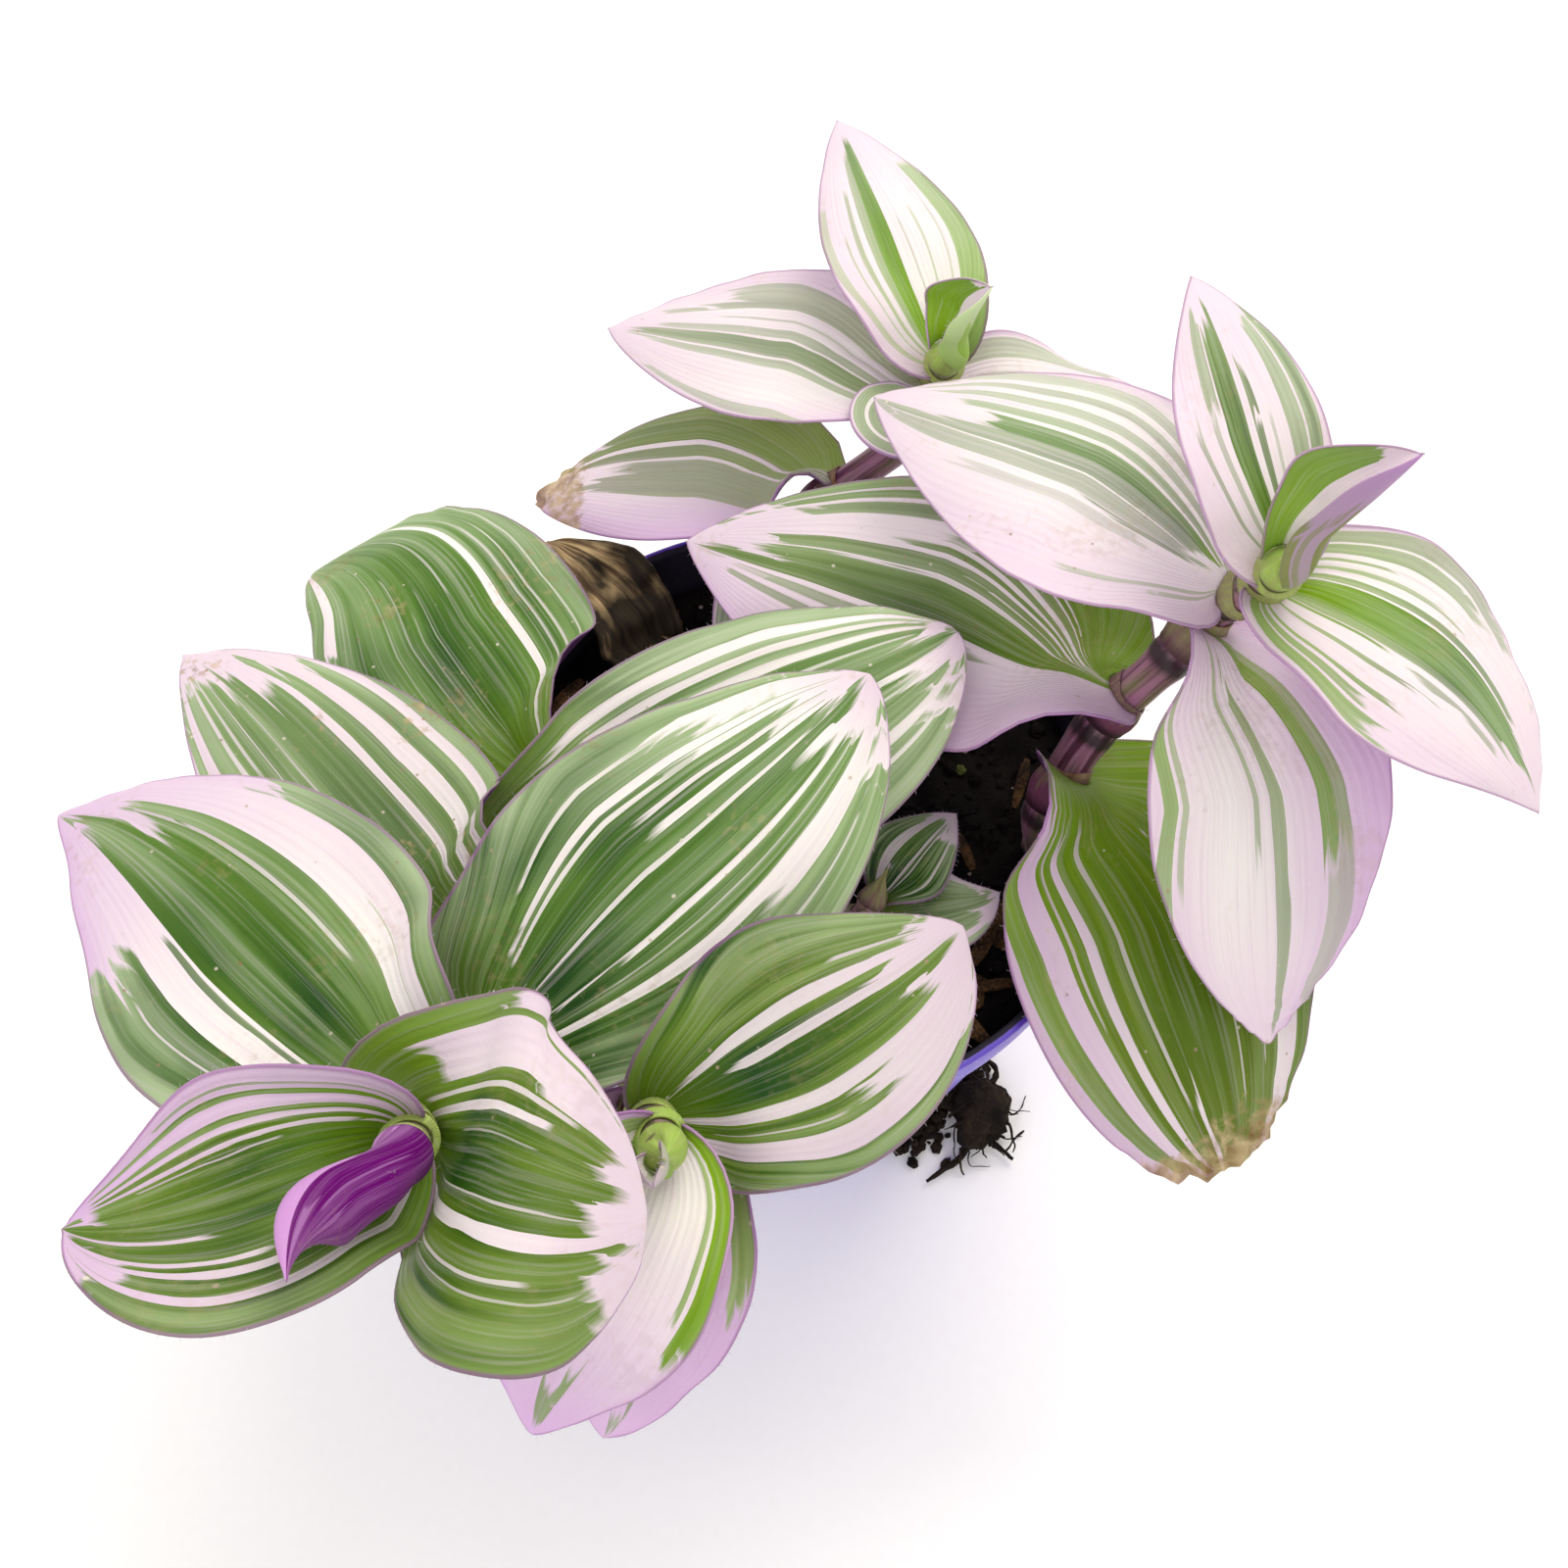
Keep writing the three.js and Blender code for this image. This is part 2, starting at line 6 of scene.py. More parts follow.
import bpy
import numpy as np
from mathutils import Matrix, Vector


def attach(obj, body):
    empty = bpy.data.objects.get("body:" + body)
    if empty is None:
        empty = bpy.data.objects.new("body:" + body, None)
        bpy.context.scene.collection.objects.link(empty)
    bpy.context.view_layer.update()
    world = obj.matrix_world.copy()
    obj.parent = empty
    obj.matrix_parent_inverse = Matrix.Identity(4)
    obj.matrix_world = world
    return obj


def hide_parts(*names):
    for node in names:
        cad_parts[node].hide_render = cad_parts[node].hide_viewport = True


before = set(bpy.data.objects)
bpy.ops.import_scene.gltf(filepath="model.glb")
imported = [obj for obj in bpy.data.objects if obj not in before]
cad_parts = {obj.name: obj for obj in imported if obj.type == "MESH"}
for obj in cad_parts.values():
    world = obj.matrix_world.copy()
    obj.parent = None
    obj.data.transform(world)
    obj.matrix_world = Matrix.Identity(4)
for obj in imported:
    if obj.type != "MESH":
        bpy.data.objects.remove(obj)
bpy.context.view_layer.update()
scene = bpy.context.scene
mm = 0.001  # the tables below are in millimetres; light's reach under a skin and the lamps are
            # in metres
fullTurn = 2 * math.pi


def mix(a, b, t):
    return a + (b - a) * t


def smooth(x, low, high):
    t = np.clip((np.asarray(x, float) - low) / (high - low), 0, 1)
    return t * t * (3 - 2 * t)


def unit(v):
    v = np.asarray(v, float)
    return v / np.maximum(np.linalg.norm(v, axis=-1, keepdims=True), 1e-12)


def linear(hexColour):
    # sRGB hex to the linear values that the shaders take
    values = [int(hexColour[k:k + 2], 16) / 255 for k in (1, 3, 5)]
    return [x / 12.92 if x <= 0.04045 else ((x + 0.055) / 1.055) ** 2.4 for x in values] + [1]


def mixColours(a, b, t):
    return [mix(x, y, t) for x, y in zip(a, b)]


def wobble(points, size, seed, waves=5):
    # soft lumps about size mm apart, between -1 and 1
    dice = np.random.default_rng(seed)
    turn = dice.normal(size=(waves, 3))
    turn = unit(turn) * (fullTurn / size) * dice.uniform(0.6, 1.5, (waves, 1))
    phase = dice.uniform(0, fullTurn, waves)
    return np.sin(points @ turn.T + phase).sum(-1) / waves * 1.4


def turns(sides):
    return np.arange(sides) * fullTurn / sides


def circle(angles, radius, height):
    # corners on a level circle; any of the three may be an array
    return np.stack(np.broadcast_arrays(np.cos(angles) * radius, np.sin(angles) * radius,
                                        height), -1).astype(float)


def buildMesh(name, points, faces, material, facets=False):
    mesh = bpy.data.meshes.new(name)
    mesh.from_pydata((np.asarray(points) * mm).tolist(), [], faces)
    mesh.polygons.foreach_set("use_smooth", [not facets] * len(mesh.polygons))
    mesh.validate()
    mesh.update()
    piece = bpy.data.objects.new(name, mesh)
    scene.collection.objects.link(piece)
    if material:
        mesh.materials.append(material)
    return piece


def giveVectors(piece, **values):
    # values at the corners, which the materials read by name
    for name, rows in values.items():
        made = piece.data.attributes.new(name, "FLOAT_VECTOR", "POINT")
        made.data.foreach_set("vector", np.asarray(rows, np.float32).ravel())
    return piece


def settle(piece, finish, *nodes):
    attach(piece, "root")
    if nodes:
        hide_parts(*nodes)


def gridFaces(index):
    # quads of a grid of corner numbers
    quads = [index[:-1, :-1], index[:-1, 1:], index[1:, 1:], index[1:, :-1]]
    return np.stack(quads, -1).reshape(-1, 4).tolist()


def ringFaces(rings, sides, start=0, closed=False):
    # quads between rings of corners, and a flat face at each end when closed
    index = start + np.arange(rings * sides).reshape(rings, sides)
    faces = gridFaces(np.hstack([index, index[:, :1]]))
    return faces + [index[0, ::-1].tolist(), index[-1].tolist()] if closed else faces


def closeRings(rings, low, top):
    # rings of corners in a row, closed by a point at each end
    count, sides = np.shape(rings)[:2]
    last, faces = count * sides, ringFaces(count, sides)
    for k in range(sides):
        n = (k + 1) % sides
        faces += [(n, k, last), (last - sides + k, last - sides + n, last + 1)]
    return np.concatenate([*rings, [low, top]]), faces


def tube(centres, radii, sides=16):
    # a round bar along points, with frames that don't twist
    centres = np.asarray(centres, float)
    along = unit(np.gradient(centres, axis=0))
    side, rings = np.cross(along[0], [0.3, 0.2, 1.0]), []
    for centre, ahead, radius in zip(centres, along, radii):
        side = unit(side - ahead * np.dot(side, ahead))
        third = np.cross(ahead, side)
        rings.append(centre + (np.outer(np.cos(turns(sides)), side)
                               + np.outer(np.sin(turns(sides)), third)) * radius)
    return closeRings(rings, centres[0], centres[-1])


def sheetFaces(rows, columns, base=0):
    # a closed sheet: an upper grid of corners, then the same grid below it
    index = base + np.arange(rows * columns).reshape(rows, columns)
    count = index.size
    rim = np.concatenate([index[0], index[1:, -1], index[-1, -2::-1], index[-2:0:-1, 0]]).tolist()
    return ([face[::-1] for face in gridFaces(index)] + gridFaces(index + count)
            + [(a, b, b + count, a + count) for a, b in zip(rim, rim[1:] + rim[:1])])


def addNode(tree, kind, *inputs, pick=0, **settings):
    # Adds one node with its settings and links, and gives back its output number pick. Inputs go
    # in the order of the sockets, or by name or number in a dictionary, and None leaves one. A
    # kind in small letters is a Math operation, and "blend" mixes two colours.
    if kind == "blend":
        kind, pick, settings["data_type"] = "Mix", 2, "RGBA"
        inputs = [dict(zip((0, 6, 7), inputs))]
    elif kind.islower():
        kind, settings["operation"] = "Math", kind.upper()
    node = tree.nodes.new("ShaderNode" + kind)
    for key, value in settings.items():
        setattr(node, key, value)
    inputs = inputs[0] if inputs and isinstance(inputs[0], dict) else dict(enumerate(inputs))
    for key, value in inputs.items():
        if isinstance(value, bpy.types.NodeSocket):
            tree.links.new(value, node.inputs[key])
        elif value is not None:
            node.inputs[key].default_value = linear(value) if isinstance(value, str) else value
    return node.outputs[pick]


socketNames = dict(roughness="Roughness", ior="IOR", specular="Specular IOR Level",
                   sheen="Sheen Weight", sheenRoughness="Sheen Roughness",
                   subsurface="Subsurface Weight", subsurfaceReach="Subsurface Scale",
                   subsurfaceRadius="Subsurface Radius")


def newMaterial(name, **settings):
    # A principled surface; the settings are constants on its own sockets. Gives back what adds
    # a node to it, and what joins the finished patterns to its surface and returns it.
    made = bpy.data.materials.new(name)
    made.use_nodes = True
    tree = made.node_tree
    surface = tree.nodes["Principled BSDF"]
    for key, value in settings.items():
        surface.inputs[socketNames[key]].default_value = value
    add = partial(addNode, tree)

    def finish(colour, roughness=None, height=None, depth=1 / mm, strength=1.0):
        # depth is in millimetres
        tree.links.new(colour, surface.inputs["Base Color"])
        if roughness:
            tree.links.new(roughness, surface.inputs["Roughness"])
        if height:
            bump = add("Bump", {"Height": height, "Distance": depth * mm, "Strength": strength})
            tree.links.new(bump, surface.inputs["Normal"])
        return made

    return add, finish


def vectorOf(add, name):
    return add("Attribute", attribute_name=name, pick=1)


def streaky(add, place, stretch, detail):
    # noise drawn out by a stretch along each axis
    place = add("VectorMath", place, stretch, operation="MULTIPLY")
    return add("TexNoise", place, None, 1.0, detail)


# Each leaf: the stem point that it grows from, its tip and width; how the midrib rises, arches and
# swings sideways; turn and roll of the blade; cup of the margins at foot and tip; where it is
# broadest, its width at the foot and how blunt its point is; waves of the margins; lobes at the
# foot; skew, and crumple of the tip where it has dried
usualLeaf = dict(rise=8, arch=6, side=0, turn=0, roll=0, cup=(80, -12), broad=0.42, waist=0.42,
                 point=0.85, ripple=0.7, lobe=(0, 0), skew=0, crumple=0)

shoots = {
    "right": dict(
        radius=(3.6, 2.3),
        path=[(38, -9, 68), (41, -5, 86), (40, -4.5, 97), (46.5, 3.5, 109), (56, 7.5, 124),
              (62, 10.5, 134), (64.5, 8.5, 140), (65.5, 6.5, 146), (65, 4.5, 150), (64.5, 3, 155)],
        leaves=[
            dict(at=2, tip=(66.5, -57, 77), width=47, rise=9, arch=12, side=3, roll=-4,
                 broad=0.5, waist=0.45, point=0.55, crumple=1.0),
            dict(at=3, tip=(-17, 39.5, 108), width=43, rise=2, arch=7, side=-3, roll=20,
                 cup=(80, -5)),
            dict(at=4, tip=(70.5, -42, 96), width=37, arch=10, roll=6, broad=0.54,
                 crumple=0.5),
            dict(at=5, tip=(13, 50, 131), width=36, rise=4, side=-1, roll=12, waist=0.36,
                 lobe=(-2, 2)),
            dict(at=6, tip=(102.5, -20.5, 128), width=34, rise=5, side=-4.5, roll=4),
            dict(at=7, tip=(55, 45, 162), width=21, rise=6, arch=4, side=1, waist=0.6),
            dict(at=8, tip=(79, 9.5, 168), width=20, rise=6, arch=2, roll=25, waist=0.7,
                 cup=(150, 90)),
        ]),
    "back": dict(
        radius=(3.2, 2.2),
        path=[(-2, 33, 68), (-1, 39, 86), (1, 42.5, 93), (2, 48.5, 101), (19, 58, 112),
              (23, 64, 118), (24.5, 62.5, 124), (24.5, 60.5, 128), (25, 59, 133)],
        leaves=[
            dict(at=2, tip=(-11.5, 18.5, 100), width=15, rise=3, arch=2, waist=0.8),
            dict(at=3, tip=(-46.5, 65, 86), width=28, rise=4, arch=9, side=-5, roll=5,
                 crumple=0.8),
            dict(at=4, tip=(59, 70, 110), width=26, rise=3, side=6, waist=0.6, lobe=(4, 4)),
            dict(at=5, tip=(-31, 78, 116), width=30, rise=4, arch=4, side=-3, roll=10),
            dict(at=6, tip=(7.5, 100.5, 140), width=25, rise=5, arch=3, waist=0.5),
            dict(at=7, tip=(30.5, 62.5, 142), width=17, rise=4, arch=1, waist=0.7,
                 cup=(150, 80)),
        ]),
    "front": dict(
        radius=(3.4, 2.2),
        path=[(-12, 6, 68), (-22, 3, 86), (-31.5, -2, 98), (-42.5, -4.5, 104),
              (-42, -14.5, 110), (-42.5, -27, 118), (-38, -50.5, 130), (-43, -63, 142),
              (-42.5, -71, 152), (-41.5, -75, 158), (-41, -77.5, 162), (-40.5, -80.5, 167)],
        leaves=[
            dict(at=2, tip=(-85, 50, 84), width=46, rise=5, arch=13, side=11, roll=6,
                 waist=0.5, point=0.5, lobe=(0, 6)),
            dict(at=4, tip=(24.5, 12, 123), width=41, rise=4, arch=5, side=4, roll=-6,
                 broad=0.58, point=0.6),
            dict(at=5, tip=(-94.5, 15, 112), width=37, rise=5, side=3, roll=-4),
            dict(at=6, tip=(10.5, -4, 137), width=41, rise=4, arch=3, side=4, roll=-14,
                 broad=0.5, point=0.65),
            dict(at=7, tip=(-99.5, -22.5, 130), width=41, rise=5, arch=7, side=6, roll=4),
            dict(at=8, tip=(-15.5, -84, 162), width=38, rise=6, arch=12, side=4.5, broad=0.54,
                 waist=0.4, point=0.42, lobe=(6, -1), skew=0.3, cup=(60, -10)),
            dict(at=9, tip=(-73.5, -87, 166), width=29, rise=5, arch=3, side=-5, broad=0.48,
                 waist=0.5, point=0.7, cup=(80, 30)),
            dict(at=10, tip=(-47.7, -94, 176), width=15, rise=6, arch=2, side=5, turn=180,
                 broad=0.55, waist=0.7, point=1.2, cup=(165, 110)),
        ]),
    "middle": dict(
        radius=(3, 2.2),
        path=[(0, -18, 68), (-3.5, -26, 86), (-13, -44, 106), (-20, -59.5, 123),
              (-18, -65, 133), (-16.5, -68.5, 139), (-15.3, -72, 144), (-14.8, -74.5, 149)],
        leaves=[
            dict(at=3, tip=(-24, -99, 108), width=30, rise=5, arch=8, side=-3, waist=0.55),
            dict(at=4, tip=(21, -42.5, 139), width=32, rise=5, side=4.5, roll=-8, broad=0.5,
                 point=0.7, cup=(60, -12)),
            dict(at=5, tip=(-30.5, -101, 127), width=28, rise=6, arch=10, waist=0.55),
            dict(at=6, tip=(-15.5, -79, 153), width=9, rise=3, arch=0, cup=(150, 120)),
        ]),
    "small": dict(
        radius=(2.2, 1.6),
        path=[(6, -19, 70), (7, -22.5, 86), (9.5, -22, 92), (12, -20, 96), (13.5, -18, 99)],
        leaves=[
            dict(at=2, tip=(32, -18.5, 97), width=17, rise=2, arch=3, side=3),
            dict(at=3, tip=(25.5, -7, 101), width=14, rise=2, arch=3),
        ]),
}

growth = dict(
    thickness=0.9, marginThickness=0.42,   # fleshy blade, thinner at its margin
    midribDepth=0.55, midribWidth=0.07,    # groove along the middle
    pucker=0.35, frill=0.28,               # soft unevenness, and small waves of the margin
    sheathGap=0.3, sheathWall=0.75,
    lip=[(1, 0.45), (0.75, 0.4)],          # the sheath's mouth turns inwards: place and wall
    budReach=3.2, budTwist=2.4,            # the shoot's bud stands on, and is folded askew
    swelling=0.5, swellingReach=0.16,      # nodes stand out from the stem
)


def stemCurve(path):
    # a smooth curve through the nodes of a stem, by share of its length in nodes
    points = np.array(path, float)
    points = np.concatenate([[2 * points[0] - points[1]], points, [2 * points[-1] - points[-2]]])

    def at(t):
        place = np.clip(t, 0, 1) * (len(path) - 1)
        k = int(min(place, len(path) - 2))
        w = place - k
        p = points[k:k + 4]
        d = np.sqrt(np.linalg.norm(np.diff(p, axis=0), axis=1))
        m1 = (p[1] - p[0]) / d[0] - (p[2] - p[0]) / (d[0] + d[1]) + (p[2] - p[1]) / d[1]
        m2 = (p[2] - p[1]) / d[1] - (p[3] - p[1]) / (d[1] + d[2]) + (p[3] - p[2]) / d[2]
        m1, m2 = m1 * d[1], m2 * d[1]
        step = p[2] - p[1]
        return p[1] + m1 * w + (3 * step - 2 * m1 - m2) * w * w + (m1 + m2 - 2 * step) * w ** 3

    return at


def makeStem(shoot):
    curve = stemCurve(shoot["path"])
    count = len(shoot["path"]) - 1
    nodes = [leaf["at"] for leaf in shoot["leaves"]]

    def at(t, margin=0):
        # centre, direction and radius of the stem at a share of its length
        bulge = sum(growth["swelling"] * math.exp(-((t * count - n) / growth["swellingReach"]) ** 2)
                    for n in nodes)
        return (curve(t), unit(curve(min(t + 1e-3, 1)) - curve(max(t - 1e-3, 0))),
                mix(*shoot["radius"], t) + bulge + margin)

    return dict(at=at, count=count)


def outlineAt(leaf, u):
    # half-width along the blade as a share of its greatest
    grow = leaf["waist"] + (1 - leaf["waist"]) * np.sin(np.pi / 2 * u / leaf["broad"])
    over = np.clip((u - leaf["broad"]) / (1 - leaf["broad"]), 0, 1)
    fall = np.clip(np.cos(np.pi / 2 * over), 0, 1) ** leaf["point"]
    return np.where(u < leaf["broad"], grow, fall)


def layOut(leaf, foot, along, lean, radius):
    # the midrib's curve, and how the leaf's foot holds the stem
    foot, tip = np.array(foot, float), np.array(leaf["tip"], float)
    chord = tip - foot
    right = unit(np.cross(chord, [0, 0, 1]))
    above = unit(np.cross(right, chord))
    lower = foot + along * leaf["rise"] + chord * 0.12
    upper = foot + chord * 0.64 + above * leaf["arch"] * 1.5 + right * leaf["side"] * 1.5
    return dict(points=(foot, lower, upper, tip), right=right, above=above, ahead=unit(chord),
                along=along, across=unit(np.cross(lean, along)),
                wrap=min(leaf["width"] * leaf["waist"] / 2 / radius, math.radians(150)))


def bladePoints(leaf, lay, u, v):
    # the blade's middle surface: u runs from foot to tip, v from the left margin (-1) to the right
    a, b, c, d = lay["points"]
    t = u[..., None]
    midrib = (1 - t) ** 3 * a + 3 * t * (1 - t) ** 2 * b + 3 * t * t * (1 - t) * c + t ** 3 * d
    tangent = unit((1 - t) ** 2 * (b - a) + 2 * t * (1 - t) * (c - b) + t * t * (d - c))
    ease = smooth(u, 0, 0.35)[..., None]
    roll = math.radians(leaf["turn"] + leaf["roll"])
    along = unit(mix(lay["along"], tangent, ease))
    spread = lay["right"] * math.cos(roll) + lay["above"] * math.sin(roll)
    across = mix(lay["across"], spread, ease)
    across = unit(across - along * (across * along).sum(-1, keepdims=True))
    normal = np.cross(across, along)
    outline = outlineAt(leaf, u)
    half = leaf["width"] / 2 * outline
    cup = np.radians(mix(leaf["cup"][1], leaf["cup"][0], (1 - u) ** 2.5))
    slope = mix(lay["wrap"], cup, smooth(u, 0, 0.2))
    slope = np.where(np.abs(slope) < 1e-4, 1e-4, slope)
    out = half * np.sin(v * slope) / slope
    lift = half * (1 - np.cos(v * slope)) / slope
    wave = np.sin(2 * np.pi * 1.6 * u + np.where(v > 0, 1.1, 3.4))
    lift = lift + leaf["ripple"] * wave * v * v * outline * ease[..., 0]
    lobe = np.where(v > 0, leaf["lobe"][1], leaf["lobe"][0]) * np.sin(np.pi / 2 * v) ** 2
    ahead = leaf["skew"] * half * v - lobe * np.maximum(0, 1 - u / 0.4) ** 2
    return (midrib + across * out[..., None] + normal * lift[..., None]
            + lay["ahead"] * ahead[..., None])


def holdOf(stem, leaf):
    # where a leaf's sheath starts and ends on its stem, and the blade's layout
    at, count = stem["at"], stem["count"]
    start = (leaf["at"] + 0.12) / count
    length = np.linalg.norm(at((leaf["at"] + 1) / count)[0] - at(leaf["at"] / count)[0])
    end = start + min(0.55, 7 / length) / count
    centre, along, radius = at(end, growth["sheathGap"] + 0.45)
    lean = np.array(leaf["tip"], float) - centre
    lean = unit(lean - along * np.dot(lean, along))
    if leaf["turn"] > 90:
        lean = -lean
    return start, end, layOut(leaf, centre + lean * radius - along * 1.2, along, lean, radius)


# Fleshy living leaf: a thin waxy skin over wet tissue, with parallel veins. It gives soft satin
# lights, a little light through the blade, and stripes where the green is missing.
leafColours = dict(
    green="#5a8029", deepGreen="#174205", youngGreen="#84ac0c", paleGreen="#a2b48b",
    oldGreen="#66780a", cream="#ece7e1", lilac="#dcc9d6", faintLilac="#cdb3c6",
    violet="#c08acb", marginLine="#8a4f8e", brown="#7a5632", husk="#c3ab84", dust="#d8cfc0",
    sheath="#9db24a", paleSheath="#b9c97c", sheathPurple="#7a4560", node="#2c0d1c",
)
leafSurface = dict(roughness=0.42, ior=1.42, specular=0.25, sheen=0.03, sheenRoughness=0.4,
                   subsurface=0.12, subsurfaceReach=0.0012, subsurfaceRadius=(0.6, 1.0, 0.35))
leafRelief = dict(veinsPerHalf=13, veinDepth=0.024, cellSize=0.35, cellDepth=0.036)

# What differs from leaf to leaf
usualLook = dict(
    ground=1.0,          # tone where no stripe is named: 1 green, 0 white
    stripes=(),          # see looks below
    foot=(0, 1), tip=(0, 1),   # shift and spread of the stripes towards foot and tip
    blush=(0.25, 0.25, 0.25),  # lilac at the left margin, the right margin and the tip
    young=0.35,          # how far up the fresh green of the foot reaches
    footDeep=0.0,        # how deep that green is; a deeper foot is partly painted shade where leaves meet the stem
    fingers=0.19,        # unevenness of the stripes' ends
    lines=0.16,          # fine pale lines between the veins
    grey=0.6,            # greyer, paler streaks in the green
    specks=0.2, scorch=0.0,   # dirt specks, and a dried tip
    warm=0.0,            # a yellower, older green
    dark=0.55,           # deeper streaks in the green; stronger on the leaves in shade, as painted shade
    patches=0.5,         # deeper green in broad patches
    faded=0.0,           # a paler, greyer green all over
    dull=0.0,            # darker white tissue; on the leaves in shade this is painted shade
    tipEdge=1.3,         # where the tip turns white all across
    sheath=0.85,         # the sheath's colour: 0 green, 1 purple brown
    under=("#4c1f57", "#a565b5"),  # the underside, below green and below white
    underFresh=0.0,      # how green the underside is near the foot
    violet=(0, 0),       # deeper lilac at the left margin, the right margin and the tip
    ribs=1.0,            # height of the relief
    shine=1.0,           # strength of the satin lights
)
stripesPerLayer = 14     # a colour ramp has room for twice as many stops
sharpness = 25.0         # how suddenly a stripe ends along the leaf


def stripeLayers(stripes):
    # shares the stripes out, so that none overlaps another in its layer
    layers = []
    for stripe in stripes:
        left, right, *start, stop, shade = (x / 100 for x in stripe)
        stripe = (left, right, *(start or [-1.0]), stop, shade)
        for layer in layers:
            if all(stripe[1] <= other[0] or stripe[0] >= other[1] for other in layer):
                if len(layer) < stripesPerLayer:
                    layer.append(stripe)
                    break
        else:
            layers.append([stripe])
    return [sorted(layer) for layer in layers]


def stripeTone(add, look, rampPlace, finger):
    # 1 in green and 0 in white tissue: later layers lie over earlier ones
    tone = None
    for layer in stripeLayers(look.stripes):
        # red and green hold where the stripe starts (plus 0.2) and ends along the leaf, blue
        # its tone
        node = add("ValToRGB", rampPlace).node
        stops = node.color_ramp.elements
        node.color_ramp.interpolation = "CONSTANT"
        stops[1].position = 1
        stops[0].color = stops[1].color = (0, 0, 0, 0)
        for left, right, start, stop, shade in layer:
            own = (max(start + 0.2, 0), stop, shade, 1)
            stops.new((left + 1) / 2).color = own
            if right >= 1:
                stops[len(stops) - 1].color = own
            elif all(abs(other[0] - right) > 1e-3 for other in layer):
                stops.new((right + 1) / 2).color = (0, 0, 0, 0)
        ends = add("SeparateColor", node.outputs[0]).node.outputs
        past = add("subtract", add("add", finger, 0.2), ends[0])
        past = add("multiply", past, sharpness, use_clamp=True)
        before = add("multiply", add("subtract", ends[1], finger), sharpness, use_clamp=True)
        inside = add("multiply", add("multiply", past, before), node.outputs[1])
        tone = add("Mix", inside, None, look.ground if tone is None else tone, ends[2])
    if tone is None:
        tone = add("Value")
        tone.default_value = look.ground
    kept = add("multiply", add("subtract", look.tipEdge, finger), sharpness, use_clamp=True)
    return add("multiply", tone, kept)


